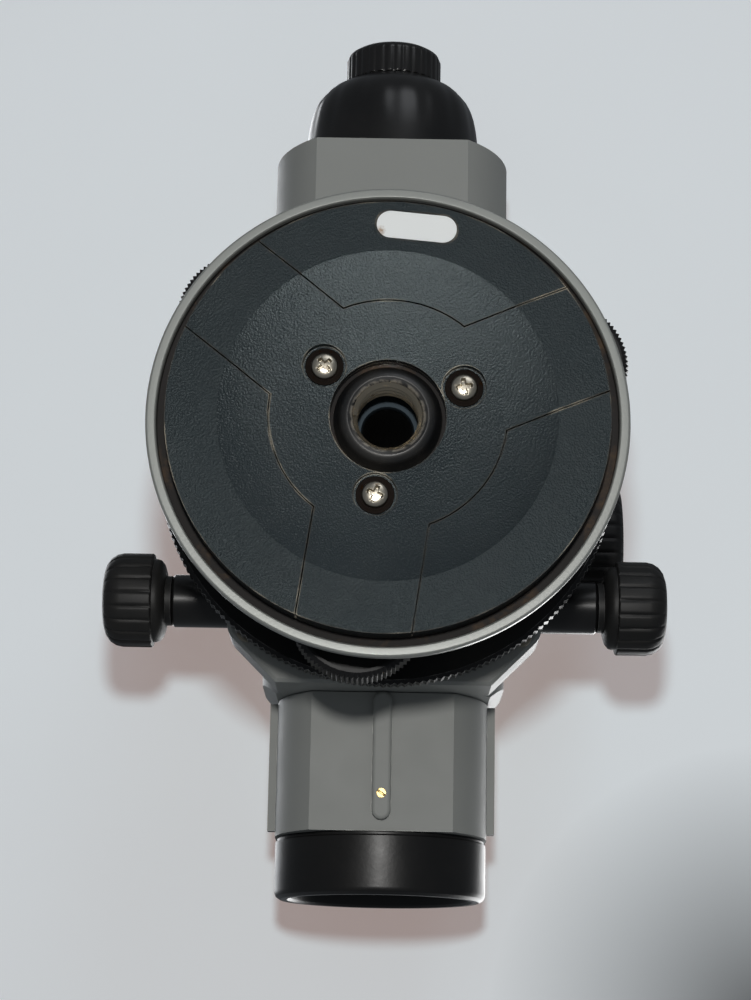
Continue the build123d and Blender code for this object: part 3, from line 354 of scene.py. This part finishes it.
def label_finish():
    """White film with rust creeping in from its rim, most of all at one end."""
    material, net, shader = new_finish("label film", Roughness=0.32)
    edge = net.ramp(net.noise(500.0, 4.0), 0.55, 0.75, 0.0, 0.35)
    worn = net.group(EDGE_WEAR, Width=0.0009, Amount=1.6, Patch_Scale=260.0).outputs["Mask"]
    spot = net.add("VectorMath", {0: net.place(), 1: LABEL_STAIN}, operation="DISTANCE").outputs["Value"]
    stain = net.math("MULTIPLY", net.ramp(spot, 0.0004, 0.0024, 1.0, 0.0), net.noise(900.0, 4.0))
    marks = net.math("MAXIMUM", net.math("MULTIPLY", worn, edge), net.ramp(stain, 0.25, 0.55, 0.0, 0.8))
    mixed = net.blend(marks, (0.78, 0.80, 0.79, 1.0), (0.28, 0.15, 0.05, 1.0))
    wire(material, mixed, shader, "Base Color")
    bump(material, net, shader, net.noise(700.0, 2.0), 0.00001)
    return material


def glass(name, colour, coat_colour=None):
    """Clear optical glass, with a tinted coating where it has one."""
    material, net, shader = new_finish(name, Transmission_Weight=1.0, IOR=1.5, Coat_Weight=0.4,
                                       Coat_Roughness=0.02)
    shade = net.group(MOTTLE, Scale=60.0, Strength=0.04).outputs["Value"]
    base = tint(net, colour, shade)
    if coat_colour:
        facing = net.add("LayerWeight", {"Blend": 0.35}).outputs["Facing"]
        base = net.blend(facing, base, coat_colour)
    wire(material, base, shader, "Base Color")
    wire(material, net.ramp(net.noise(300.0), 0.3, 0.8, 0.01, 0.05), shader, "Roughness")
    return material


def dial_finish():
    """The circle's silvered scale: a long division every five degrees and a short one every degree."""
    material, net, shader = new_finish("dial", Metallic=0.6, Roughness=0.35)
    x, y, z = net.add("SeparateXYZ", {0: net.place()}).outputs
    angle = net.math("MULTIPLY", net.math("ARCTAN2", y, x), 180.0 / pi)
    radius = net.radius(x, y)
    marks = []
    for step, half_width, reach in ((1.0, 0.11, 53.6), (5.0, 0.16, 52.6)):
        offset = net.math("PINGPONG", angle, step / 2)
        line = net.math("LESS_THAN", offset, half_width)
        marks.append(net.math("MULTIPLY", line, net.math("GREATER_THAN", radius, reach * MM)))
    ink = net.math("MAXIMUM", marks[0], marks[1])
    shade = net.group(MOTTLE, Scale=90.0, Strength=0.1).outputs["Value"]
    silver = tint(net, (0.62, 0.63, 0.62), shade)
    wire(material, net.blend(ink, silver, (0.01, 0.01, 0.01, 1.0)), shader, "Base Color")
    bump(material, net, shader, ink, -0.00004)
    return material


GREY = painted("grey enamel", (0.262, 0.27, 0.258), (0.36, 0.36, 0.34), 0.46, wear=0.10, tone=0.05,
               dust=0.04, level=0.12)
RIM = rim_finish()
CRINKLE_BLACK = crinkled("crinkle black", (0.011, 0.015, 0.0175))
KNURL_BLACK = painted("knurl black", (0.007, 0.007, 0.0075), (0.46, 0.46, 0.44), 0.36, wear=0.7,
                      width=0.0003, patch=150.0, dust=0.03, level=0.2)
BOSS_BLACK = painted("boss black", (0.007, 0.0075, 0.008), (0.34, 0.31, 0.26), 0.40, wear=1.6,
                     width=0.0006, patch=600.0, dust=0.10, lip=8.8)
SATIN_BLACK = painted("satin black", (0.006, 0.006, 0.0062), (0.12, 0.12, 0.11), 0.36, wear=0.2,
                      width=0.0004, patch=300.0, dust=0.02, level=0.3)
WHEEL_BLACK = painted("wheel black", (0.009, 0.009, 0.0095), (0.1, 0.1, 0.1), 0.5, wear=0.0, level=0.25)
FLAT_BLACK = painted("flat black", (0.012, 0.012, 0.012), (0.1, 0.1, 0.1), 0.75, wear=0.2)
GLOSS_BLACK = plastic("gloss black", (0.006, 0.006, 0.0062), 0.28, dust=0.04, depth=0.000004, wear=0.1,
                      level=0.4)
KNOB_BLACK = plastic("knob black", (0.008, 0.008, 0.0078), 0.50, dust=0.08, depth=0.00002, wear=0.15,
                     level=0.3)
NICKEL = turned_metal("nickel", (0.50, 0.46, 0.38), 0.30, stain=0.6)
STEEL = turned_metal("steel", (0.52, 0.52, 0.52), 0.30)
BRASS = turned_metal("brass", (0.42, 0.31, 0.13), 0.38, stain=0.3)
THREAD = turned_metal("thread metal", (0.40, 0.35, 0.27), 0.30, stain=0.5)
BLUE_ALLOY = turned_metal("blue alloy", (0.040, 0.052, 0.062), 0.6, stain=0.1)
ALLOY = turned_metal("alloy", (0.60, 0.61, 0.62), 0.33)
RUSTY = turned_metal("rusty washer", (0.009, 0.007, 0.006), 0.6, stain=0.9,
                     stain_colour=(0.10, 0.045, 0.015, 1.0))
FIBRE = plastic("fibre", (0.22, 0.07, 0.035), 0.6, dust=0.3)
LABEL = label_finish()
LENS_GLASS = glass("lens glass", (0.80, 0.90, 0.86), (0.30, 0.12, 0.42, 1.0))
VIAL_GLASS = glass("vial glass", (0.62, 0.80, 0.30))
CLEAR_GLASS = glass("clear glass", (0.95, 0.97, 0.97))
MIRROR = turned_metal("mirror", (0.90, 0.91, 0.92), 0.03, stain=0.05)
DIAL = dial_finish()


# ---- shape tools ----

def soften(bm, width, segments=2, least=28.0):
    """Round every edge whose faces meet at more than the least angle."""
    sharp = [e for e in bm.edges if len(e.link_faces) == 2 and degrees(e.calc_face_angle(0.0)) > least]
    if width and sharp:
        bmesh.ops.bevel(bm, geom=sharp, offset=width, offset_type="OFFSET", segments=segments, profile=0.5,
                        affect="EDGES", clamp_overlap=True, material=-1)


def turned(outline, steps=96, round_edges=0.15, segments=2):
    """Spin a closed outline of (radius, height) points about the Z axis."""
    bm = bmesh.new()
    corners = [bm.verts.new((r, 0.0, h)) for r, h in outline]
    edges = [bm.edges.new(pair) for pair in zip(corners, corners[1:] + corners[:1])]
    bmesh.ops.spin(bm, geom=corners + edges, cent=(0, 0, 0), axis=(0, 0, 1), angle=2 * pi, steps=steps,
                   use_merge=True)
    bmesh.ops.remove_doubles(bm, verts=bm.verts, dist=0.0005)
    bmesh.ops.delete(bm, geom=[edge for edge in bm.edges if not edge.link_faces], context="EDGES")
    bmesh.ops.recalc_face_normals(bm, faces=bm.faces)
    soften(bm, round_edges, segments)
    return bm


def flute(bm, count, depth, low, high, power, least):
    """Press equally spaced grooves into the wall beyond the least radius, between two heights.

    A higher power gives narrower grooves.
    """
    for vert in bm.verts:
        radius = hypot(vert.co.x, vert.co.y)
        if radius > least and low <= vert.co.z <= high:
            wave = abs(cos(count * atan2(vert.co.y, vert.co.x) / 2)) ** power
            factor = (radius - depth * wave) / radius
            vert.co.x *= factor
            vert.co.y *= factor


def toothed(outline, teeth, depth):
    """A straight-knurled wheel: V teeth pressed into the widest part of a turned outline."""
    bm = turned(outline, teeth * 2, 0.0)
    outer = max(r for r, h in outline)
    for vert in bm.verts:
        radius = hypot(vert.co.x, vert.co.y)
        if radius > outer - 0.01 and round(atan2(vert.co.y, vert.co.x) / (pi / teeth)) % 2:
            vert.co.x *= (outer - depth) / radius
            vert.co.y *= (outer - depth) / radius
    return bm


def join(target, other):
    """Add the other shape to the target."""
    mesh = bpy.data.meshes.new("joined")
    other.to_mesh(mesh)
    target.from_mesh(mesh)
    other.free()
    bpy.data.meshes.remove(mesh)


def around(radius, angle, turn=0.0):
    """Upright placement at an angle round the vertical axis, turned about its own."""
    spot = (radius * cos(radians(angle)), radius * sin(radians(angle)), 0.0)
    return Matrix.Translation(spot) @ Matrix.Rotation(radians(turn), 4, "Z")


def along_telescope(sign):
    """Local +Z points along the telescope: 1 for -Y, to the objective, and -1 for +Y, to the eyepiece."""
    return Matrix.Translation((0, 0, AXIS_Z)) @ Matrix.Rotation(radians(90 * sign), 4, "X")


def to_side(y, z, sign):
    """Local +Z points along +X or -X."""
    return Matrix.Translation((0, y, z)) @ Matrix.Rotation(radians(90 * sign), 4, "Y")


def piece(name, bm, finish, body, nodes=(), place=None, sharp=35.0):
    """Finish a shape: move it into place, scale it to metres and hang it on its body."""
    if place:
        bmesh.ops.transform(bm, matrix=place, verts=bm.verts)
    bmesh.ops.scale(bm, vec=(MM, MM, MM), verts=bm.verts)
    mesh = bpy.data.meshes.new(name)
    bm.to_mesh(mesh)
    bm.free()
    made = bpy.data.objects.new(name, mesh)
    scene.collection.objects.link(made)
    mesh.materials.append(finish)
    mesh.shade_smooth()
    mesh.set_sharp_from_angle(angle=radians(sharp))
    shading = made.modifiers.new("flat faces stay flat", "WEIGHTED_NORMAL")
    shading.keep_sharp = True
    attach(made, body)
    if nodes:
        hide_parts(*nodes)


def dressed(node, finish, body, width=0.2, segments=2, least=28.0, sharp=35.0):
    """A softened copy of a CAD node, with its edges rounded."""
    bm = bmesh.new()
    bm.from_mesh(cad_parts[node].data)
    bmesh.ops.scale(bm, vec=(1 / MM, 1 / MM, 1 / MM), verts=bm.verts)
    bmesh.ops.remove_doubles(bm, verts=bm.verts, dist=0.001)
    bmesh.ops.dissolve_limit(bm, angle_limit=radians(0.1), verts=bm.verts, edges=bm.edges)
    soften(bm, width, segments, least)
    piece(node + "_finished", bm, finish, body, (node,), sharp=sharp)


def plain(node, finish):
    """Give a CAD node that stays as it is a better finish."""
    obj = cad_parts[node]
    obj.data.materials.clear()
    obj.data.materials.append(finish)


# ---- base: rim plate, underside disc, spring plate ----

plate_low, plate_high = span("base_plate")
plate = turned([(PLATE_HOLE_R, POCKET_FLOOR), (52.7, POCKET_FLOOR), (52.8, plate_low.z + 0.5),
                (53.1, plate_low.z), (54.8, plate_low.z),
                (plate_high.x, plate_low.z + 0.5), (plate_high.x, plate_low.z + 2.3),
                (plate_high.x - 2.2, plate_low.z + 4.5), (plate_high.x - 2.2, plate_high.z),
                (PLATE_HOLE_R, plate_high.z)],
               steps=240, round_edges=0.2)
piece("rim_plate", plate, RIM, "base", ("base_plate",))
dressed("bottom_disc", CRINKLE_BLACK, "base", 0.3, 3, 40.0, 3.0)
dressed("spring_plate", CRINKLE_BLACK, "base", 0.6, 3, 40.0, 3.0)
plain("foot_seats", STEEL)

# ---- base: threaded bush, screws, washers, label ----
bush_low, bush_high = span("tripod_bush")
shank_r = PLATE_HOLE_R - 0.1
bush = turned([(BUSH_BORE_R, bush_low.z + 1.4), (8.0, bush_low.z + 0.7), (8.3, bush_low.z + 0.4),
               (8.6, bush_low.z + 0.3), (9.2, bush_low.z), (10.0, bush_low.z + 0.2),
               (10.8, bush_low.z + 0.8), (11.3, bush_low.z + 1.7), (11.6, bush_low.z + 2.8),
               (bush_high.x, bush_low.z + 4.0), (bush_high.x, POCKET_FLOOR), (shank_r, POCKET_FLOOR),
               (shank_r, bush_high.z), (BUSH_BORE_R, bush_high.z)],
              steps=128, round_edges=0.15, segments=3)
piece("tripod_boss", bush, BOSS_BLACK, "base", ("tripod_bush",))

ridge = bmesh.new()
profile = [ridge.verts.new(p) for p in ((8.0, 0, -1.0), (6.98, 0, -0.14), (6.98, 0, 0.14), (8.0, 0, 1.0))]
profile_edges = [ridge.edges.new(pair) for pair in zip(profile, profile[1:] + profile[:1])]
bmesh.ops.spin(ridge, geom=profile + profile_edges, cent=(0, 0, 0), axis=(0, 0, 1),
               angle=2 * pi * THREAD_TURNS, steps=int(THREAD_STEPS * THREAD_TURNS),
               dvec=(0, 0, THREAD_PITCH / THREAD_STEPS), use_merge=False)
ends = [edge for edge in ridge.edges if len(edge.link_faces) == 1]
bmesh.ops.holes_fill(ridge, edges=ends, sides=4)
bmesh.ops.recalc_face_normals(ridge, faces=ridge.faces)
bmesh.ops.translate(ridge, verts=ridge.verts, vec=(0, 0, bush_low.z + 1.2))
piece("tripod_thread", ridge, THREAD, "base")

head_low = span("plate_screws")[0].z
head_back, shank_end = head_low + 1.7, head_low + 7.5
quarter = [pi / 2 * i / 28 for i in range(29)]
dome = [(SCREW_HEAD_R * sin(t), head_low + 1.5 * (1 - cos(t)) ** 1.3) for t in quarter]
screws = bmesh.new()
for angle in FOOT_ANGLES.values():
    head = turned(dome + [(SCREW_HEAD_R, head_back), (1.6, head_back), (1.6, shank_end), (0.0, shank_end)],
                  120, 0.0)
    for vert in head.verts:  # the cross recess: narrow across its arms, and ending short of the rim
        across, along = sorted((abs(vert.co.x), abs(vert.co.y)))
        if vert.co.z < head_low + 1.4:
            depth = min(1.0, max(0.0, (0.52 - across) / 0.12)) * min(1.0, max(0.0, (1.95 - along) / 0.45))
            vert.co.z += 1.1 * depth
    bmesh.ops.transform(head, matrix=around(SCREW_CIRCLE, angle, angle + 12.0), verts=head.verts)
    join(screws, head)
piece("plate_screw_heads", screws, NICKEL, "base", ("plate_screws",), sharp=60.0)
dressed("plate_washers", RUSTY, "base", 0.08)
dressed("base_label", LABEL, "base", 0.05)

# ---- foot screws ----
for side, angle in FOOT_ANGLES.items():
    body = side + "_foot_screw"
    low, high = span("foot_wheel_" + side)
    radius = (high.x - low.x) / 2
    wheel = toothed([(4.0, low.z), (5.0, low.z), (5.0, low.z + 2.5), (13.4, low.z + 2.5), (13.4, low.z),
                     (radius - 1.4, low.z), (radius, low.z + 0.8), (radius, high.z - 0.8),
                     (radius - 1.4, high.z - 0.03), (4.0, high.z - 0.03)], WHEEL_TEETH, 0.6)
    piece("foot_wheel_knurl_" + side, wheel, WHEEL_BLACK, body, ("foot_wheel_" + side,),
          around(FOOT_CIRCLE, angle), 25.0)
    dressed("foot_screw_" + side, STEEL, body, 0.1)

# ---- horizontal circle ----
low, high = span("circle_ring")
circle = toothed([(CIRCLE_BORE_R, low.z), (high.x - 1.2, low.z), (high.x, low.z + 0.8),
                  (high.x, high.z - 0.4), (high.x - 0.9, high.z), (50.0, high.z), (50.0, low.z + 2.0),
                  (CIRCLE_BORE_R, low.z + 2.0)], CIRCLE_TEETH, 0.5)
piece("circle_knurl", circle, KNURL_BLACK, "circle", ("circle_ring",), sharp=25.0)
low, high = span("circle_scale")
inner = high.x - DIAL_WIDTH
dial = turned([(inner, low.z), (high.x, low.z), (high.x, high.z), (inner, high.z)], 240, 0.2)
piece("circle_dial", dial, DIAL, "circle", ("circle_scale",))

# ---- tribrach and vertical axis ----
dressed("tribrach", SATIN_BLACK, "tribrach", 0.8, 3)
plain("axis_sleeve", BRASS)
plain("foot_bushes", BRASS)
plain("foot_washers_rear", FIBRE)
plain("foot_washer_front", FIBRE)
low, high = span("axis_retainer")
retainer = turned([(5.8, low.z + 0.6), (6.2, low.z), (high.x - 0.5, low.z), (high.x, low.z + 0.4),
                   (high.x, high.z), (5.8, high.z)], 96, 0.1)
piece("axis_end_ring", retainer, BLUE_ALLOY, "alidade", ("axis_retainer",))
plain("vertical_spindle", FLAT_BLACK)

# ---- housing ----
dressed("housing", GREY, "alidade", 0.9, 3, 25.0)
dressed("top_cover", GREY, "alidade", 0.8, 3, 25.0)
dressed("lower_cover", GREY, "alidade", 0.3, 2)
dressed("barrel", GREY, "alidade", 0.5, 3, 25.0)
plain("housing_screws", NICKEL)

# ---- fine motion ----
tubes = bmesh.new()
tube_low, tube_high = span("tangent_tubes")
tube_r = (tube_high.z - tube_low.z) / 2
for sign in (-1, 1):
    tube = turned([(SHAFT_HOLE_R, TUBE_START), (tube_r, TUBE_START), (tube_r, tube_high.x - 0.6),
                   (tube_r - 0.6, tube_high.x), (SHAFT_HOLE_R, tube_high.x)], 72, 0.12)
    bmesh.ops.transform(tube, matrix=to_side(SHAFT.y, SHAFT.z, sign), verts=tube.verts)
    join(tubes, tube)
piece("shaft_tubes", tubes, GLOSS_BLACK, "alidade", ("tangent_tubes",))

knob_low, knob_high = span("tangent_knobs")
knob_r = (knob_high.z - knob_low.z) / 2
start, end = KNOB_START, knob_high.x
knobs = bmesh.new()
for sign in (-1, 1):
    knob = turned([(SHAFT_HOLE_R, COLLAR_START), (COLLAR_R, COLLAR_START), (COLLAR_R, start),
                   (knob_r - 4.2, start), (knob_r - 2.6, start + 0.5), (knob_r - 1.6, start + 1.3),
                   (knob_r - 1.3, start + 2.3), (knob_r - 1.3, start + 2.9), (knob_r - 0.2, start + 3.1),
                   (knob_r, start + 3.4), (knob_r, start + 7.0), (knob_r, end - 4.6),
                   (knob_r - 0.35, end - 3.0), (knob_r - 1.2, end - 1.6), (knob_r - 2.5, end - 0.6),
                   (knob_r - 4.2, end), (knob_r - 5.6, end), (knob_r - 6.0, end - 0.4),
                   (0.0, end - 0.6), (0.0, start)], KNOB_RIBS * 12, 0.0)
    flute(knob, KNOB_RIBS, 0.35, start + 3.2, end - 0.9, 20.0, knob_r - 3.4)
    bmesh.ops.transform(knob, matrix=to_side(SHAFT.y, SHAFT.z, sign), verts=knob.verts)
    join(knobs, knob)
piece("fine_motion_knobs", knobs, KNOB_BLACK, "fine_motion", ("tangent_knobs",), sharp=50.0)
plain("tangent_shaft", STEEL)
plain("worm_wheel", BRASS)

# ---- focusing ----
low, high = span("focus_knob")
focus_y = (low.y + high.y) / 2
focus_r = (high.y - low.y) / 2
start, end = -high.x, -low.x
focus = turned([(2.2, start), (focus_r - 2.0, start), (focus_r - 1.0, start + 0.6),
                (focus_r - 1.0, start + 1.8), (focus_r, start + 2.6), (focus_r, start + 8.0),
                (focus_r, end - 2.6), (focus_r - 0.6, end - 1.2), (focus_r - 2.0, end),
                (focus_r - 5.0, end), (focus_r - 5.4, end - 0.5), (0.0, end - 0.5), (0.0, start)],
               FOCUS_RIBS * 10, 0.0)
flute(focus, FOCUS_RIBS, 0.35, start + 2.2, end - 0.7, 16.0, focus_r - 2.2)
piece("focusing_knob", focus, KNOB_BLACK, "focus_drive", ("focus_knob",),
      to_side(focus_y, AXIS_Z, -1), sharp=50.0)
dressed("focus_boss", GLOSS_BLACK, "alidade", 0.4)
plain("focus_pinion", STEEL)
plain("focus_cell", FLAT_BLACK)
plain("focus_lens", LENS_GLASS)

# ---- objective ----
low, high = span("objective_ring")
front, back = -low.y, -high.y
hood_r = (high.x - low.x) / 2
hood = turned([(21.5, back), (hood_r - 0.5, back), (hood_r - 0.5, back + 0.7), (hood_r, back + 0.9),
               (hood_r, front - 1.8), (hood_r - 0.4, front - 0.7), (hood_r - 1.5, front),
               (hood_r - 3.2, front), (hood_r - 3.9, front - 0.6), (22.0, front - 3.0),
               (22.0, front - 4.6), (21.5, front - 5.0)], 160, 0.12)
piece("objective_hood", hood, SATIN_BLACK, "alidade", ("objective_ring",),
      along_telescope(1))
plain("objective_cell", FLAT_BLACK)
plain("objective_lenses", LENS_GLASS)
dressed("rib_set_screw", BRASS, "alidade", 0.08)

# ---- eyepiece ----
start = span("bell_cover")[0].y
bell = turned([(21.4, start), (22.6, start), (23.0, start + 0.5), (23.0, start + 5.0), (22.8, start + 9.0),
               (22.4, start + 12.0), (21.9, start + 14.5), (21.2, start + 16.7), (20.2, start + 18.7),
               (18.9, start + 20.4), (17.4, start + 21.8), (15.8, start + 22.8), (14.4, start + 23.5),
               (13.5, start + 24.0), (13.1, start + 24.4), (12.4, start + 24.4), (12.4, start + 22.5),
               (16.0, start + 18.6), (21.0, start + 11.0)], BELL_RIBS * 12, 0.1)
flute(bell, BELL_RIBS, 0.2, start + 5.5, start + 20.5, 4.0, 18.0)
piece("eyepiece_bell", bell, GLOSS_BLACK, "alidade", ("bell_cover",), along_telescope(-1),
      sharp=50.0)
low, high = span("eyepiece_ring")
start, end = start + 24.7, high.y
grip_r = (high.x - low.x) / 2
low, high = span("ocular_tube")
bore_r = (high.x - low.x) / 2 + 0.2
grip = turned([(bore_r, start), (grip_r - 0.5, start), (grip_r, start + 0.5), (grip_r, end - 2.0),
               (grip_r - 0.5, end - 0.8), (grip_r - 1.7, end), (bore_r + 0.6, end), (bore_r, end - 0.7)],
              GRIP_RIBS * 8, 0.0)
flute(grip, GRIP_RIBS, 0.28, start + 0.3, end - 1.0, 6.0, grip_r - 1.2)
piece("eyepiece_grip", grip, GLOSS_BLACK, "eyepiece", ("eyepiece_ring",),
      along_telescope(-1), sharp=50.0)
plain("eyepiece_tube", FLAT_BLACK)
plain("reticle_holder", FLAT_BLACK)
plain("reticle_glass", CLEAR_GLASS)
plain("ocular_tube", FLAT_BLACK)
plain("ocular_lenses", LENS_GLASS)

# ---- compensator ----
plain("compensator_frame", FLAT_BLACK)
plain("pendulum_pin", STEEL)
plain("pendulum", ALLOY)
plain("pendulum_prism", CLEAR_GLASS)
plain("fixed_prisms", CLEAR_GLASS)

# ---- circular level, mirror, sight ----
dressed("level_housing", GREY, "alidade", 0.4)
plain("level_vial", VIAL_GLASS)
plain("level_screws", NICKEL)
dressed("mirror_frame", SATIN_BLACK, "mirror", 0.2)
plain("mirror_glass", MIRROR)
dressed("peep_sight", SATIN_BLACK, "alidade", 0.25)


# ---- stage: a pale table above the level for views from beneath, a floor below it for the others ----

def stage_sheet(name, height, facing, reach, colour, glow, painted_shadow_tone=1.0, steepest=2.0):
    """A sheet that shows only its front. It glows with painted fill light, and a painted shadow darkens it
    towards one corner.

    Where it is seen more along itself than steepest it is clear; above 1 that never happens.
    """
    material, net, shader = new_finish(name, Roughness=0.9, Specular_IOR_Level=0.1)
    mottle = net.group(MOTTLE, Scale=9.0, Strength=0.02).outputs["Value"]
    corner = net.add("VectorMath", {0: net.place(), 1: (-0.104, -0.132, height)}, operation="DISTANCE")
    # painted shadow: colour and glow fall off towards one corner as if something shaded it
    painted_corner_shadow = net.ramp(corner.outputs["Value"], 0.0, 0.075, painted_shadow_tone, 1.0)
    shade = net.math("MULTIPLY", mottle, painted_corner_shadow)
    wire(material, tint(net, colour, shade), shader, "Base Color")
    # painted fill light: the sheet glows, so its shaded parts stay light though no lamp reaches them
    wire(material, tint(net, glow, shade), shader, "Emission Color")
    shader.inputs["Emission Strength"].default_value = 1.0
    clear = net.add("BsdfTransparent")
    side = net.add("NewGeometry")
    slant = net.add("LayerWeight", {"Blend": 0.5}).outputs["Facing"]
    hidden = net.math("MAXIMUM", side.outputs["Backfacing"], net.math("GREATER_THAN", slant, steepest))
    choose = net.add("MixShader", {0: hidden})
    tree = material.node_tree
    tree.links.new(shader.outputs[0], choose.inputs[1])
    tree.links.new(clear.outputs[0], choose.inputs[2])
    tree.links.new(choose.outputs[0], tree.nodes["Material Output"].inputs["Surface"])
    bm = bmesh.new()
    bmesh.ops.create_grid(bm, x_segments=1, y_segments=1, size=reach)
    if facing < 0:
        bmesh.ops.reverse_faces(bm, faces=bm.faces)
    bmesh.ops.translate(bm, verts=bm.verts, vec=(0, 0, height))
    mesh = bpy.data.meshes.new(name)
    bm.to_mesh(mesh)
    bm.free()
    sheet = bpy.data.objects.new(name, mesh)
    scene.collection.objects.link(sheet)
    mesh.materials.append(material)
    for kind in ("diffuse", "glossy", "transmission", "shadow"):
        setattr(sheet, "visible_" + kind, False)


# the table glows warm as painted fill light and has a painted shadow in one corner; the floor glows
# faintly as painted fill light
stage_sheet("table", 0.1218, -1, 1.2, (0.54, 0.73, 0.81), (0.27, 0.185, 0.155), painted_shadow_tone=0.14,
            steepest=0.6)
stage_sheet("floor", -0.0002, 1, 6.0, (0.50, 0.52, 0.53), (0.10, 0.09, 0.09))

# ---- light ----
world = bpy.data.worlds.new("room")
scene.world = world
world.use_nodes = True
room = world.node_tree
room_light = room.nodes["Background"]
room_light.inputs["Color"].default_value = (0.82, 0.88, 0.95, 1.0)
room_light.inputs["Strength"].default_value = 0.18
backdrop = room.nodes.new("ShaderNodeBackground")
backdrop.inputs["Color"].default_value = (0.36, 0.37, 0.385, 1.0)
rays = room.nodes.new("ShaderNodeLightPath")
seen = room.nodes.new("ShaderNodeMixShader")
room.links.new(rays.outputs["Is Camera Ray"], seen.inputs[0])
room.links.new(room_light.outputs[0], seen.inputs[1])
room.links.new(backdrop.outputs[0], seen.inputs[2])
room.links.new(seen.outputs[0], room.nodes["World Output"].inputs["Surface"])


def lamp(name, place, size, power, colour=(1.0, 1.0, 1.0)):
    """A round lamp aimed at the middle of the level."""
    data = bpy.data.lights.new(name, "AREA")
    data.shape = "DISK"
    data.size = size
    data.energy = power
    data.color = colour
    lamp_object = bpy.data.objects.new(name, data)
    scene.collection.objects.link(lamp_object)
    lamp_object.location = place
    aim = Vector((0, 0, 0.05)) - Vector(place)
    lamp_object.rotation_euler = aim.to_track_quat("-Z", "Y").to_euler()


lamp("key", (0.005, -0.015, -0.60), 0.05, 2.1, (1.0, 0.985, 0.96))
lamp("room glow", (-0.4, 1.2, -1.0), 0.9, 4.0, (0.93, 0.96, 1.0))
lamp("overhead", (-0.55, -0.30, 1.25), 0.9, 10.0)
lamp("fill", (0.55, 0.35, 1.25), 0.9, 6.0, (0.95, 0.97, 1.0))

# ---- camera ----
camera_data = bpy.data.cameras.new("camera")
camera_data.lens = 87.1
camera_data.sensor_width = 36.0
camera_data.sensor_fit = "AUTO"
camera = bpy.data.objects.new("camera", camera_data)
scene.collection.objects.link(camera)
eye_point = Vector((0.0, -0.1458, -0.5270))
pitch = radians(13.40)
roll = radians(-1.0)
look = Vector((0.0045, sin(pitch), cos(pitch))).normalized()
up = Vector((0.0, cos(pitch), -sin(pitch)))
right = look.cross(up).normalized()
up = (up * cos(roll) + right * sin(roll)).normalized()
right = look.cross(up).normalized()
camera.matrix_world = Matrix((
    (right.x, up.x, -look.x, eye_point.x),
    (right.y, up.y, -look.y, eye_point.y),
    (right.z, up.z, -look.z, eye_point.z),
    (0.0, 0.0, 0.0, 1.0)))
scene.camera = camera
scene.view_settings.view_transform = "Standard"
